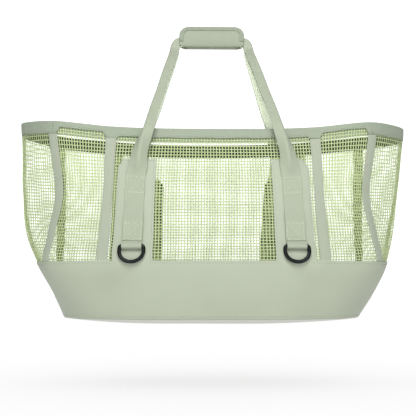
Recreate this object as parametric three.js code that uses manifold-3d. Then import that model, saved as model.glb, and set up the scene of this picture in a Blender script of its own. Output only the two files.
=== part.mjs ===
import * as THREE from "three";
import Module from "manifold-3d";

// Millimetres. The origin is the middle of the grip's underside. +X is the right of the bag as its front
// is looked at, +Y runs from the front to the back and +Z is up.

// Cloth, webbing and the free space between sewn layers.
const CLOTH = 1.2;
const WEBBING = 1.8;
const GAP = 0.4;
const SEAM = 0.2;

// Each layer lies at its own distance out from the middle of the net.
const NET_FACE = CLOTH / 2;
const SKIN_IN = NET_FACE + GAP;
const SKIN_OUT = SKIN_IN + CLOTH;
const STRAP_ON_SKIN = SKIN_OUT + GAP + WEBBING / 2;
const TAB_BACK = SKIN_OUT + 1.5 * GAP + CLOTH / 2;
const TAB_FRONT = TAB_BACK + CLOTH + GAP;
const STRAP_ON_TAB = TAB_FRONT + CLOTH / 2 + GAP + WEBBING / 2;

// Distance round the wall, from the middle of the front to each named place in one quarter of the bag.
const SIDE_AT = 163;
const CORNER_AT = 262;
const END_AT = 365;
const ROUND = 4 * END_AT;

// Distance up the wall from the bottom seam.
const NET_FOOT = 83;
const BASE_TOP = 91;
const TONGUE_TOP = 252;
const BACK_TONGUE_TOP = 242;
const RIM_FOOT = 281;
const RIM_TOP = 301;

// The wall's shape, one row for each height: where the middle, the side strips, the corner strips and the
// two ends lie. The last two columns are how far the net swells beside the end strips, and how much fuller
// the back corners are than the front ones.
const WALL_COLUMNS = [
  "up", "zMid", "zSide", "zCorner", "zLeft", "zRight",
  "yMid", "xSide", "ySide", "xCorner", "yCorner", "xLeft", "xRight", "swell", "fuller",
];
const WALL_ROWS = [
  [0, -442, -442, -442, -442, -442, 120, 135, 112, 205, 74, 237, 237, 0, 0],
  [43, -400, -400, -400, -400, -400, 133, 153, 123, 234, 84, 255, 265, 0, 0],
  [BASE_TOP, -354, -354, -354, -354, -354, 140, 168, 130, 257, 92, 280, 282, 1, 0],
  [130, -317, -317, -317, -317, -317, 130, 166, 121, 251, 87, 293, 288, 7, 5],
  [204, -245, -245, -244, -243, -244, 115, 162, 107, 239, 79, 305, 302, 6, 15],
  [260, -190, -188, -184, -182, -185, 104, 160, 98, 246, 84, 307, 310, 4, 11],
  [RIM_FOOT, -170, -166, -157, -150, -157, 100, 159, 94, 249, 88, 308, 313, 3, 9],
  [RIM_TOP, -150, -146, -137, -130, -137, 97, 159, 92, 250, 88, 310, 315, 2, 8],
];
const SWELL_AT = 28;
const FULLER_FROM = 180;

// Lines of the wall's grid in one quarter, shared by every layer so that the layers stay parallel.
const QUARTER_LINES = [0, 44, 88, 113, 138, 148, 150, 154, 163, 172, 176, 200, 225, 249, 253];
const END_LINES = [271, 297, 322, 342, 356];
const BASE_UP = [0, 43, NET_FOOT, BASE_TOP];
const NET_UP = [110, 130, 167, 204];

// Tongues, strips and hem.
const TONGUE_IN = 88;
const TONGUE_OUT = 148;
const TONGUE_CHAMFER = 12;
// Inner edge of the two back tongues, at the top of the base and at the tongue's own top.
const BACK_TONGUE_LEFT = [79, 79];
const BACK_TONGUE_RIGHT = [84, 94];
const STRIP_HALF = 9;
const HEM_IN = 20;
const HEM_MIDDLE = 13.5;
const HEM_AT_SIDE = 17;
const HEM_BETWEEN = 8;
const HEM_AT_END = 18;
const HEM_STEP = 4;

// Bottom panel: how far it sags and how much of it is flat.
const BOTTOM_SAG = 8;
const BOTTOM_FLAT_X = 60;
const BOTTOM_FLAT_SHARE = 0.5;

// Straps. The spine is the middle of the webbing, which becomes its fold where the strap is folded.
const STRAP_AT = 118;
const STRAP_HALF = 15;
const FOLD_HALF = 3;
const STRAP_COLUMNS = ["up", "out"];
const SEWN_ROWS = [
  [119.8, STRAP_ON_TAB + 2.5],
  [122.5, STRAP_ON_TAB + 0.8],
  [127, STRAP_ON_TAB + 0.1],
  [152, STRAP_ON_TAB],
  [170, STRAP_ON_SKIN],
  [202, STRAP_ON_SKIN],
  [226, STRAP_ON_SKIN + 0.1],
];
// Free part of one leg of the front strap: the spine, then how far the inner and the outer half turn back
// towards the bag. The back strap spreads wider than the front one by the last column.
const FREE_COLUMNS = ["x", "y", "z", "inner", "outer", "spread"];
const FREE_ROWS = [
  [116.5, -117.5, -206.5, 24, 26, 1],
  [115, -119.5, -191, 36, 44, 4],
  [111.5, -119, -169, 28, 66, 9],
  [106, -113.5, -146, 8, 96, 12],
  [99.5, -96, -118.5, 2, 150, 12],
  [90, -73.5, -86, 0, 172, 8.5],
  [80, -47, -48, 0, 178, 4.5],
  [72, -25, -20, 0, 180, 1.5],
  [68.6, -10.5, -6, 0, 180, 0],
  [67.4, -4.6, 1.5, 0, 180, 0],
  [65, -3.9, 8.5, 0, 180, 0],
  [60.2, -3.6, 14.6, 0, 180, 0],
  [53.2, -3.5, 17.6, 0, 180, 0],
  [46, -3.4, 19.1, 0, 180, 0],
  [38, -3.4, 19.4, 0, 180, 0],
  [22, -3.4, 19.4, 0, 180, 0],
  [0, -3.4, 19.4, 0, 180, 0],
];

// D-ring: a round wire bent to a D, hung by its straight bar in the tab's fold.
const RING_UP = 112;
const RING_WIRE = 5.7;
const RING_WIDE = 36.9;
const RING_DROP = 24.4;
const RING_SIDE = 8;
const RING_BEND = 4;
const BAR_FOLD = RING_WIRE / 2 + 1.5 * GAP + CLOTH / 2;
const RING_OUT = TAB_BACK + BAR_FOLD;
const RING_TILT = 8;
const TAB_HALF = 14.5;
const TAB_TOP = 149.5;
const TAB_KNEE = 5;

// Grip cover and its binding.
const GRIP_HALF = 52.5;
const GRIP_TALL = 35.5;
const GRIP_WALL = 3;
const GRIP_DEEP = 7;
const GRIP_SHOULDER = 20;
const GRIP_LIP = 1.2;
const GRIP_CORNER = 15;
const GRIP_SLOT_FROM = 40;
const GRIP_SLOT_DEEP = 7.2;
const BINDING_WIDE = 6;
const BINDING_THICK = 1;
const BINDING_FOOT = 11;

const wasm = await Module();
wasm.setup();
const { Manifold } = wasm;
const named = (columns, rows) => rows.map((r) => Object.fromEntries(columns.map((c, i) => [c, r[i]])));
const mirrored = (lines) => [...lines.slice(1).map((v) => -v).reverse(), ...lines];

// A curve through given values at unevenly spaced places, with the slope of the parabola at each of them.
function through(places, values, at) {
  const last = places.length - 1;
  const step = (i) => (values[i + 1] - values[i]) / (places[i + 1] - places[i]);
  const slope = (i) => {
    if (i === 0) return step(0);
    if (i === last) return step(last - 1);
    const before = places[i] - places[i - 1];
    const after = places[i + 1] - places[i];
    return (step(i) * before + step(i - 1) * after) / (before + after);
  };
  let i = 0;
  while (i < last - 1 && at > places[i + 1]) i += 1;
  const span = places[i + 1] - places[i];
  const s = (at - places[i]) / span;
  const s2 = s * s;
  const s3 = s2 * s;
  const ends = values[i] * (2 * s3 - 3 * s2 + 1) + values[i + 1] * (3 * s2 - 2 * s3);
  return ends + span * (slope(i) * (s3 - 2 * s2 + s) + slope(i + 1) * (s3 - s2));
}

// The places round the bag, with two more on each side so that the closed curve has no seam.
const quarterPlaces = [0, SIDE_AT, CORNER_AT, END_AT, 2 * END_AT - CORNER_AT, 2 * END_AT - SIDE_AT];
const roundPlaces = [...quarterPlaces, ...quarterPlaces.map((p) => p + 2 * END_AT)];
const places = [
  ...roundPlaces.slice(-2).map((p) => p - ROUND),
  ...roundPlaces,
  ...roundPlaces.slice(0, 3).map((p) => p + ROUND),
];
const wallRows = named(WALL_COLUMNS, WALL_ROWS).map((r) => {
  const loop = [
    [0, -r.yMid, r.zMid],
    [r.xSide, -r.ySide, r.zSide],
    [r.xCorner, -r.yCorner, r.zCorner],
    [r.xRight, 0, r.zRight],
    [r.xCorner, r.yCorner, r.zCorner],
    [r.xSide, r.ySide, r.zSide],
    [0, r.yMid, r.zMid],
    [-r.xSide, r.ySide, r.zSide],
    [-r.xCorner, r.yCorner, r.zCorner],
    [-r.xLeft, 0, r.zLeft],
    [-r.xCorner, -r.yCorner, r.zCorner],
    [-r.xSide, -r.ySide, r.zSide],
  ];
  const wrapped = [...loop.slice(-2), ...loop, ...loop.slice(0, 3)];
  return { ...r, axes: [0, 1, 2].map((k) => wrapped.map((p) => p[k])) };
});
const ups = wallRows.map((r) => r.up);

// How strongly the net swells at a distance from the middle of an end.
function swellAt(off) {
  const s = (off / SWELL_AT) ** 2;
  return s * Math.exp(1 - s);
}

// How strongly a back corner is fuller: all of it at the corner strip, none at the side strip and the end.
function fullerAt(off) {
  const from = off < CORNER_AT ? FULLER_FROM : END_AT;
  const s = Math.min(1, Math.max(0, (off - from) / (CORNER_AT - from)));
  return s * s * (3 - 2 * s);
}

// A point of the net's middle surface, round and up the wall.
function surface(round, up) {
  const at = ((round % ROUND) + ROUND) % ROUND;
  const axis = (k) => through(ups, wallRows.map((r) => through(places, r.axes[k], at)), up);
  const amount = (column) => through(ups, wallRows.map((r) => r[column]), up);
  const toRight = at < 2 * END_AT ? 1 : -1;
  const offEnd = Math.abs((at % (2 * END_AT)) - END_AT);
  const offBack = Math.abs(at - 2 * END_AT);
  const more = amount("swell") * swellAt(offEnd) + amount("fuller") * fullerAt(offBack);
  return new THREE.Vector3(axis(0) + toRight * more, axis(1), axis(2));
}

// The wall's own directions at a place: along it, up it and out of it.
function directions(round, up) {
  const along = surface(round + 1, up).sub(surface(round - 1, up)).normalize();
  const rise = surface(round, up + 1).sub(surface(round, up - 1)).normalize();
  const out = along.clone().cross(rise).normalize();
  return { along, rise, out };
}

// A point at a distance out from the net's middle surface.
const wall = (round, up, out) => surface(round, up).addScaledVector(directions(round, up).out, out);

// A closed body between two grids of points, the outer one and the inner one, over the cells that are kept.
function slab(outer, inner, keep = () => true) {
  const rows = outer.length;
  const columns = outer[0].length;
  const points = [];
  const index = new Map();
  const faces = [];
  const vertex = (grid, i, j) => {
    const key = (grid === outer ? "o" : "i") + i + "," + j;
    if (!index.has(key)) {
      index.set(key, points.length / 3);
      points.push(...grid[i][j].toArray());
    }
    return index.get(key);
  };
  const quad = (a, b, c, d) => faces.push(a, b, c, a, c, d);
  const kept = (i, j) => i >= 0 && j >= 0 && i < rows - 1 && j < columns - 1 && keep(i, j);
  const side = (i, j, k, l) => {
    quad(vertex(outer, i, j), vertex(inner, i, j), vertex(inner, k, l), vertex(outer, k, l));
  };
  for (let i = 0; i < rows - 1; i += 1) {
    for (let j = 0; j < columns - 1; j += 1) {
      if (!kept(i, j)) continue;
      const corners = [[i, j], [i + 1, j], [i + 1, j + 1], [i, j + 1]];
      quad(...corners.map(([k, l]) => vertex(outer, k, l)));
      const [a, b, c, d] = corners.map(([k, l]) => vertex(inner, k, l));
      quad(a, d, c, b);
      if (!kept(i, j - 1)) side(i, j, i + 1, j);
      if (!kept(i + 1, j)) side(i + 1, j, i + 1, j + 1);
      if (!kept(i, j + 1)) side(i + 1, j + 1, i, j + 1);
      if (!kept(i - 1, j)) side(i, j + 1, i, j);
    }
  }
  const geometry = new THREE.BufferGeometry();
  geometry.setAttribute("position", new THREE.Float32BufferAttribute(points, 3));
  geometry.setIndex(faces);
  geometry.computeVertexNormals();
  return geometry;
}

// A layer of the wall over a grid of lines, between two distances out.
function layer(rounds, rises, from, to, keep, moved = (r, u) => [r, u]) {
  const grid = (out) => rounds.map((r) => rises.map((u) => wall(...moved(r, u), out)));
  return slab(grid(to), grid(from), keep);
}

// Turns a geometry to the back of the bag: mirrored in Y, with its faces turned round again.
function toBack(geometry) {
  const back = geometry.clone();
  back.applyMatrix4(new THREE.Matrix4().makeScale(1, -1, 1));
  const index = back.index.array.slice();
  for (let i = 0; i < index.length; i += 3) [index[i + 1], index[i + 2]] = [index[i + 2], index[i + 1]];
  back.setIndex(new THREE.BufferAttribute(index, 1));
  back.computeVertexNormals();
  return back;
}

const part = new THREE.Group();
function add(name, geometry, color, roughness = 0.8, metalness = 0) {
  const material = new THREE.MeshStandardMaterial({ color, roughness, metalness });
  const mesh = new THREE.Mesh(geometry, material);
  mesh.name = name;
  part.add(mesh);
}
const COATED = 0xbcc6ae;
const NET = 0xb4cc94;
const HEM = 0xaebca4;
const TAPE = 0xb2c0a8;
const STRAP = 0xbec8b2;
const PAD = 0xb8c2ac;
const EDGE = 0xa2ae98;
const BLACK = 0x1e1e22;

// Base wall with its tongues, front and back. One upper corner of each tongue is cut, the outer one in front
// and the inner one behind.
const plainLines = QUARTER_LINES.filter((l) => l < 150 || l === SIDE_AT || l > 190);
const baseLines = mirrored([...plainLines, CORNER_AT, ...END_LINES, END_AT - SEAM]);
const inTongue = (round) => Math.abs(round) > TONGUE_IN && Math.abs(round) < TONGUE_OUT;
const middle = (lines, i) => (lines[i] + lines[i + 1]) / 2;
function base(start, top, cut, shift, leftEdge, rightEdge) {
  const rises = [...BASE_UP, ...NET_UP, top];
  const keep = (i, j) => middle(rises, j) < BASE_TOP || inTongue(middle(baseLines, i));
  const edge = (round, up) => {
    if (Math.abs(round) !== TONGUE_IN || up < BASE_TOP) return round;
    const [foot, head] = round * (start - 1) > 0 ? leftEdge : rightEdge;
    return Math.sign(round) * (foot + ((head - foot) * (up - BASE_TOP)) / (top - BASE_TOP));
  };
  const shape = (round, up) => {
    const at = start + edge(round, up);
    const corner = up === top && Math.abs(round) === cut;
    return corner ? [at + shift * Math.sign(round), up - TONGUE_CHAMFER] : [at, up];
  };
  return layer(baseLines, rises, SKIN_IN, SKIN_OUT, keep, shape);
}
const BACK = 2 * END_AT;
const straight = [TONGUE_IN, TONGUE_IN];
add("base_front", base(0, TONGUE_TOP, TONGUE_OUT, -1, straight, straight), COATED);
add("base_back", base(BACK, BACK_TONGUE_TOP, TONGUE_IN, 1, BACK_TONGUE_LEFT, BACK_TONGUE_RIGHT), COATED);

// Net panels, which meet under the corner strips.
const tongueTops = [BACK_TONGUE_TOP, TONGUE_TOP];
const netRises = [NET_FOOT, BASE_TOP, ...NET_UP, ...tongueTops, RIM_FOOT, RIM_TOP];
const netLines = mirrored([...QUARTER_LINES.filter((l) => l < 100 || l > 148), CORNER_AT - SEAM]);
const endHalf = [CORNER_AT + SEAM, ...END_LINES];
const endLines = [...endHalf, END_AT, ...endHalf.map((l) => 2 * END_AT - l).reverse()];
const leftLines = endLines.map((l) => l + BACK);
const backLines = netLines.map((l) => l + BACK);
add("net_front", layer(netLines, netRises, -NET_FACE, NET_FACE), NET);
add("net_back", layer(backLines, netRises, -NET_FACE, NET_FACE), NET);
add("net_right", layer(endLines, netRises, -NET_FACE, NET_FACE), NET);
add("net_left", layer(leftLines, netRises, -NET_FACE, NET_FACE), NET);

// Hem: a folded strip over the net's top edge. Its outer leg changes height at the strips.
const HEM_COLUMNS = ["at", "height"];
const HEM_ROWS = [
  [0, HEM_MIDDLE],
  [SIDE_AT - STRIP_HALF - HEM_STEP, HEM_MIDDLE],
  [SIDE_AT - STRIP_HALF, HEM_AT_SIDE],
  [SIDE_AT + STRIP_HALF, HEM_AT_SIDE],
  [SIDE_AT + STRIP_HALF + HEM_STEP, HEM_BETWEEN],
  [CORNER_AT - STRIP_HALF - HEM_STEP, HEM_BETWEEN],
  [CORNER_AT - STRIP_HALF, HEM_AT_END],
  [END_AT, HEM_AT_END],
];
const hemRows = named(HEM_COLUMNS, HEM_ROWS);
function hemHeight(round) {
  const inHalf = Math.abs(round) % (2 * END_AT);
  const at = inHalf > END_AT ? 2 * END_AT - inHalf : inHalf;
  const i = Math.max(0, hemRows.findIndex((r) => r.at >= at) - 1);
  const share = (at - hemRows[i].at) / (hemRows[i + 1].at - hemRows[i].at);
  return hemRows[i].height + Math.min(1, Math.max(0, share)) * (hemRows[i + 1].height - hemRows[i].height);
}
function hem(lines) {
  const profile = (round, face, cover) => [
    wall(round, RIM_TOP - hemHeight(round), face),
    wall(round, RIM_TOP + cover, face),
    wall(round, RIM_TOP + cover, -face),
    wall(round, RIM_TOP - HEM_IN, -face),
  ];
  const outer = lines.map((l) => profile(l, SKIN_OUT, GAP + CLOTH));
  const inner = lines.map((l) => profile(l, SKIN_IN, GAP));
  return slab(outer, inner);
}
add("rim_front", hem(netLines), HEM);
add("rim_back", hem(backLines), HEM);
add("rim_right", hem(endLines), HEM);
add("rim_left", hem(leftLines), HEM);

// Webbing strips from the base up to the hem.
function strip(at) {
  const lines = [at - STRIP_HALF, at, at + STRIP_HALF];
  const rises = (round) => [BASE_TOP + GAP, ...NET_UP, ...tongueTops, RIM_TOP - hemHeight(round) - GAP];
  const grid = (out) => lines.map((l) => rises(l).map((u) => wall(l, u, out)));
  return slab(grid(SKIN_OUT), grid(SKIN_IN));
}
const STRIP_COLUMNS = ["name", "at"];
const STRIP_ROWS = [
  ["side_strip_front_right", SIDE_AT],
  ["side_strip_front_left", -SIDE_AT],
  ["side_strip_back_right", BACK - SIDE_AT],
  ["side_strip_back_left", BACK + SIDE_AT],
  ["corner_strip_front_right", CORNER_AT],
  ["corner_strip_front_left", -CORNER_AT],
  ["corner_strip_back_right", BACK - CORNER_AT],
  ["corner_strip_back_left", BACK + CORNER_AT],
  ["end_strip_right", END_AT],
  ["end_strip_left", -END_AT],
];
named(STRIP_COLUMNS, STRIP_ROWS).forEach((r) => add(r.name, strip(r.at), TAPE));

// Bottom panel inside the foot of the wall.
const bottomQuarter = [0, 44, 88, SIDE_AT, 200, 225, 253, ...END_LINES, 359];
const bottomLines = mirrored(bottomQuarter);
const shares = [-1, -0.8, -BOTTOM_FLAT_SHARE, BOTTOM_FLAT_SHARE, 0.8, 1];
function bottomPoint(round, share, thick) {
  const edge = wall(round, 0, SKIN_IN - 2 * GAP);
  const past = Math.max(0, Math.abs(edge.x) - BOTTOM_FLAT_X) / (WALL_ROWS[0][11] - BOTTOM_FLAT_X);
  const off = Math.max(0, Math.abs(share) - BOTTOM_FLAT_SHARE) / (1 - BOTTOM_FLAT_SHARE);
  const sag = BOTTOM_SAG * Math.max(0, 1 - past * past) * (1 - off * off);
  return new THREE.Vector3(edge.x, -edge.y * share, edge.z - sag - thick);
}
const bottomGrid = (thick) => bottomLines.map((l) => [...shares].map((s) => bottomPoint(l, s, thick)));
add("base_bottom", slab(bottomGrid(0), bottomGrid(CLOTH)), COATED);

// Strap: a ribbon whose two halves turn back about its spine.
function ribbon(spine, inward, out, inner, outer) {
  const turnIn = THREE.MathUtils.degToRad(inner);
  const turnOut = THREE.MathUtils.degToRad(outer);
  const heading = (w) => {
    const s = Math.min(1, Math.max(-1, w / FOLD_HALF));
    return (turnOut - turnIn) / 2 - (s * (turnOut + turnIn)) / 2;
  };
  const walk = (to) => {
    const pieces = 24;
    let a = 0;
    let n = 0;
    for (let k = 0; k < pieces; k += 1) {
      const h = heading((to * (k + 0.5)) / pieces);
      a += (Math.cos(h) * to) / pieces;
      n += (Math.sin(h) * to) / pieces;
    }
    return { a, n, h: heading(to) };
  };
  const face = (side) => [-STRAP_HALF, -FOLD_HALF, -1, 1, FOLD_HALF, STRAP_HALF].map((w) => {
    const at = walk(w);
    const a = at.a - (side * Math.sin(at.h) * WEBBING) / 2;
    const n = at.n + (side * Math.cos(at.h) * WEBBING) / 2;
    return spine.clone().addScaledVector(inward, a).addScaledVector(out, n);
  });
  return { top: face(1), under: face(-1) };
}
const sewn = named(STRAP_COLUMNS, SEWN_ROWS).map((r) => {
  const d = directions(STRAP_AT, r.up);
  return ribbon(wall(STRAP_AT, r.up, r.out), d.along.clone().negate(), d.out, 0, 0);
});
const freeRows = named(FREE_COLUMNS, FREE_ROWS);
const lastSewn = wall(STRAP_AT, SEWN_ROWS[SEWN_ROWS.length - 1][0], STRAP_ON_SKIN);
const flip = (p) => new THREE.Vector3(-p.x, p.y, p.z);
function strap(spreads) {
  const spine = freeRows.map((r) => new THREE.Vector3(r.x + spreads * r.spread, r.y, r.z));
  const free = freeRows.map((r, i) => {
    const before = i === 0 ? lastSewn : spine[i - 1];
    const after = i === freeRows.length - 1 ? new THREE.Vector3(-22, r.y, r.z) : spine[i + 1];
    const run = after.clone().sub(before).normalize();
    const out = new THREE.Vector3(0, -1, 0).addScaledVector(run, run.y).normalize();
    const inward = out.clone().cross(run);
    return ribbon(spine[i], inward, out, r.inner, r.outer);
  });
  const leg = [...sewn, ...free];
  const flipped = leg.map((s) => ({ top: s.top.map(flip), under: s.under.map(flip) }));
  const otherLeg = flipped.slice(0, -1).reverse();
  const whole = [...leg, ...otherLeg];
  return slab(whole.map((s) => s.top), whole.map((s) => s.under));
}
add("strap_front", strap(0), STRAP);
add("strap_back", toBack(strap(1)), STRAP);

// Tab: a folded ribbon from under the strap's end, round the ring's bar and back.
const turn = (degrees) => {
  const a = THREE.MathUtils.degToRad(degrees);
  return [RING_UP - BAR_FOLD * Math.sin(a), RING_OUT - BAR_FOLD * Math.cos(a)];
};
const tabLine = [
  [TAB_TOP, TAB_BACK],
  [RING_UP + 16, TAB_BACK],
  [RING_UP + 6, TAB_BACK],
  ...[0, 30, 60, 90, 120, 150, 180, 208].map(turn),
  [RING_UP + 10.5, TAB_FRONT + 0.5],
  [RING_UP + 15, TAB_FRONT],
  [TAB_TOP, TAB_FRONT],
];
function tab(at) {
  const face = (side) => tabLine.map((p, i) => {
    const before = tabLine[Math.max(0, i - 1)];
    const after = tabLine[Math.min(tabLine.length - 1, i + 1)];
    const run = Math.hypot(after[0] - before[0], after[1] - before[1]);
    const up = p[0] + (side * CLOTH * (after[1] - before[1])) / (2 * run);
    const out = p[1] - (side * CLOTH * (after[0] - before[0])) / (2 * run);
    return [-TAB_HALF, -TAB_KNEE * Math.sign(at), TAB_HALF].map((r) => wall(at + r, up, out));
  });
  return slab(face(1), face(-1));
}

// D-ring: a round wire along a closed D, hung from the middle of its bar.
const halfWide = RING_WIDE / 2;
const flat = (x, z) => new THREE.Vector3(x, 0, z);
const bow = [];
for (let a = 0; a <= 180; a += 20) {
  const t = THREE.MathUtils.degToRad(a);
  bow.push(flat(halfWide * Math.cos(t), -RING_SIDE - (RING_DROP - RING_SIDE) * Math.sin(t)));
}
const cornerOf = (sign) => [30, 60, 90].map((d) => {
  const t = THREE.MathUtils.degToRad(d);
  return flat(sign * (halfWide - RING_BEND + RING_BEND * Math.sin(t)), -RING_BEND + RING_BEND * Math.cos(t));
});
const loop = [
  flat(-halfWide + RING_BEND, 0),
  flat(halfWide - RING_BEND, 0),
  ...cornerOf(1),
  ...bow,
  ...cornerOf(-1).reverse(),
];
const WIRE_SIDES = 8;
function ring() {
  const points = [];
  const faces = [];
  loop.forEach((p, i) => {
    const before = loop[(i + loop.length - 1) % loop.length];
    const after = loop[(i + 1) % loop.length];
    const run = after.clone().sub(before).normalize();
    const outward = new THREE.Vector3(0, 1, 0).cross(run).normalize();
    for (let k = 0; k < WIRE_SIDES; k += 1) {
      const a = (2 * Math.PI * (k + 0.5)) / WIRE_SIDES;
      const at = p.clone().addScaledVector(outward, (Math.cos(a) * RING_WIRE) / 2);
      at.y += (Math.sin(a) * RING_WIRE) / 2;
      points.push(...at.toArray());
      const next = (k + 1) % WIRE_SIDES;
      const here = i * WIRE_SIDES;
      const there = ((i + 1) % loop.length) * WIRE_SIDES;
      faces.push(here + k, here + next, there + next, here + k, there + next, there + k);
    }
  });
  const geometry = new THREE.BufferGeometry();
  geometry.setAttribute("position", new THREE.Float32BufferAttribute(points, 3));
  geometry.setIndex(faces);
  return geometry;
}
function placedRing(at) {
  const d = directions(at, RING_UP);
  const frame = new THREE.Matrix4().makeBasis(d.along, d.out.clone().negate(), d.rise);
  const tilt = new THREE.Matrix4().makeRotationX(THREE.MathUtils.degToRad(RING_TILT));
  const geometry = ring().applyMatrix4(tilt).applyMatrix4(frame);
  const bar = wall(at, RING_UP, RING_OUT);
  geometry.translate(bar.x, bar.y, bar.z);
  geometry.computeVertexNormals();
  return geometry;
}
[["right", STRAP_AT], ["left", -STRAP_AT]].forEach(([name, at]) => {
  const front = tab(at);
  const wire = placedRing(at);
  add("ring_tab_front_" + name, front, STRAP);
  add("ring_tab_back_" + name, toBack(front), STRAP);
  add("d_ring_front_" + name, wire, BLACK, 0.25, 0.4);
  add("d_ring_back_" + name, toBack(wire), BLACK, 0.25, 0.4);
});

// Grip cover: a folded pad, open at its top, with rounded upper corners. Its floor is slotted at both ends,
// where the straps leave it.
const deepOut = GRIP_DEEP + GRIP_WALL;
const arc = (y, z, r, from, to) => [0, 1, 2, 3].map((k) => {
  const a = THREE.MathUtils.degToRad(from + ((to - from) * k) / 3);
  return [y + r * Math.cos(a), z + r * Math.sin(a)];
});
const coverSection = [
  [-GRIP_LIP - GRIP_WALL, GRIP_TALL],
  [-deepOut, GRIP_SHOULDER],
  ...arc(-deepOut + 5, 5, 5, 180, 270),
  ...arc(deepOut - 5, 5, 5, 270, 360),
  [deepOut, GRIP_SHOULDER],
  [GRIP_LIP + GRIP_WALL, GRIP_TALL],
  [GRIP_LIP, GRIP_TALL],
  [GRIP_DEEP, GRIP_SHOULDER - 0.5],
  ...arc(GRIP_DEEP - 2, 5, 2, 360, 270),
  ...arc(-GRIP_DEEP + 2, 5, 2, 270, 180),
  [-GRIP_DEEP, GRIP_SHOULDER - 0.5],
  [-GRIP_LIP, GRIP_TALL],
];
const alongX = [0, 1, 0, 0, 0, 0, 1, 0, 1, 0, 0, 0, -GRIP_HALF, 0, 0, 1];
const alongY = [1, 0, 0, 0, 0, 0, 1, 0, 0, -1, 0, 0, 0, GRIP_HALF, 0, 1];
const lengthways = (section) => Manifold.extrude([section], 2 * GRIP_HALF).transform(alongX);
const outline = (inset, foot) => {
  const half = GRIP_HALF - inset;
  const top = GRIP_TALL - inset;
  const r = GRIP_CORNER - inset;
  const shape = [
    [-half, foot],
    [half, foot],
    ...arc(half - r, top - r, r, 0, 45),
    ...arc(half - r, top - r, r, 45, 90).slice(1),
    ...arc(-half + r, top - r, r, 90, 135),
    ...arc(-half + r, top - r, r, 135, 180).slice(1),
  ];
  return Manifold.extrude([shape], 2 * GRIP_HALF).transform(alongY);
};
function geometryOf(solid) {
  const mesh = solid.getMesh();
  const geometry = new THREE.BufferGeometry();
  geometry.setAttribute("position", new THREE.BufferAttribute(mesh.vertProperties, 3));
  geometry.setIndex(new THREE.BufferAttribute(mesh.triVerts, 1));
  geometry.computeVertexNormals();
  return geometry;
}
const slotAt = GRIP_SLOT_FROM + GRIP_HALF / 2;
const slot = Manifold.cube([GRIP_HALF, 2 * GRIP_SLOT_DEEP, 2 * GRIP_SLOT_DEEP], true);
const slots = slot.translate([slotAt, 0, 0]).add(slot.translate([-slotAt, 0, 0]));
add("grip_wrap", geometryOf(lengthways(coverSection).intersect(outline(0, 0)).subtract(slots)), PAD);
const edgeFrom = GAP;
const edgeTo = GAP + BINDING_THICK;
const bindingSection = [
  [-GRIP_LIP - GRIP_WALL - edgeTo, GRIP_TALL],
  [-deepOut - edgeTo, GRIP_SHOULDER],
  [-deepOut - edgeTo, BINDING_FOOT],
  [-deepOut - edgeFrom, BINDING_FOOT],
  [-deepOut - edgeFrom, GRIP_SHOULDER],
  [-GRIP_LIP - GRIP_WALL - edgeFrom, GRIP_TALL],
];
const band = outline(0, 0).subtract(outline(BINDING_WIDE, -GRIP_TALL));
const binding = geometryOf(lengthways(bindingSection).intersect(band));
add("grip_binding_front", binding, EDGE);
add("grip_binding_back", toBack(binding), EDGE);

export default part;
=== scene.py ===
# %% [markdown]
# A net tote bag hangs by its padded grip. The solids of the bag are already packed, so this lesson
# loads them as a fixed frame and dresses each one: cloth, net, webbing, thread and metal.
# Everything stays in metres and in the frame of the solids, whose origin is the middle of the
# grip's underside.

# %% Load the frame
import math

import bpy
import numpy as np
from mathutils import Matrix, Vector


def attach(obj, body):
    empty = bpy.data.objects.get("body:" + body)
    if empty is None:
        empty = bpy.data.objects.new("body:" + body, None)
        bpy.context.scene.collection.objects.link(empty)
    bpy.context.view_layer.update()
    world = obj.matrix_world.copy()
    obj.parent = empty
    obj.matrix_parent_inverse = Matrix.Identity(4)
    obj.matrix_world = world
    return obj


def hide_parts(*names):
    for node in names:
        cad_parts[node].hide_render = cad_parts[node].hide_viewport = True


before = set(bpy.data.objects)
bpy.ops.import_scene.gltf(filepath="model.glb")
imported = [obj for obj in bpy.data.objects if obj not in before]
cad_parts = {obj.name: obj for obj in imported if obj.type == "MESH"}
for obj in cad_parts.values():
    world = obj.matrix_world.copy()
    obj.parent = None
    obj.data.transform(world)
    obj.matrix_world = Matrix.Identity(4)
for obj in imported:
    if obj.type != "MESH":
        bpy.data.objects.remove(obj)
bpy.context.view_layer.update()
MM = 0.001

# %% [markdown]
# The photograph was taken from a little over one and a half metres, at about the height of the
# base, with the camera tipped up a few degrees. It stood a little left of the bag's middle, because
# the back shows through the net slightly to the right of the front. A camera that is tipped keeps
# its shift at zero, so it can be swung round the bag later and still frame it.

# %% Camera
EYE = (-0.050, -1.650, -0.383)
TIPPED_UP, TURNED_RIGHT = 4.09, 1.53
LENS = 87.1
camera_data = bpy.data.cameras.new("camera")
camera_data.lens = LENS
camera_data.sensor_width = 36.0
camera_data.clip_start = 0.05
camera = bpy.data.objects.new("camera", camera_data)
camera.location = EYE
camera.rotation_euler = (math.radians(90 + TIPPED_UP), 0, math.radians(-TURNED_RIGHT))
bpy.context.scene.collection.objects.link(camera)
bpy.context.scene.camera = camera
print("camera at", EYE)

# %% [markdown]
# A catalogue picture has a burnt-out white backdrop that hardly lights the object, so the world
# shows bright white to the camera and only a little light to everything else. A large lamp stands
# in front, about forty degrees up, and a wide, low one fills the shade below the hem and at both
# ends. A weaker one behind shows the back of the bag. The floor is some way below the bag and glows
# a little, like paper lit from all round. A very wide sun lights the floor alone, so that it
# carries the faint, broad shadow of the bag, and the three lamps leave the floor out.

# %% Light and floor
ROOM_LIGHT, BACKDROP_LIGHT = 0.04, 1.3
FLOOR_Z, FLOOR_HALF = -0.548, 9.0
PAPER_TONE, PAPER_GLOW = 0.13, 0.715
SUN_STRENGTH, SUN_SPREAD, SUN_LEAN = 7.0, 165, -10


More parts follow.
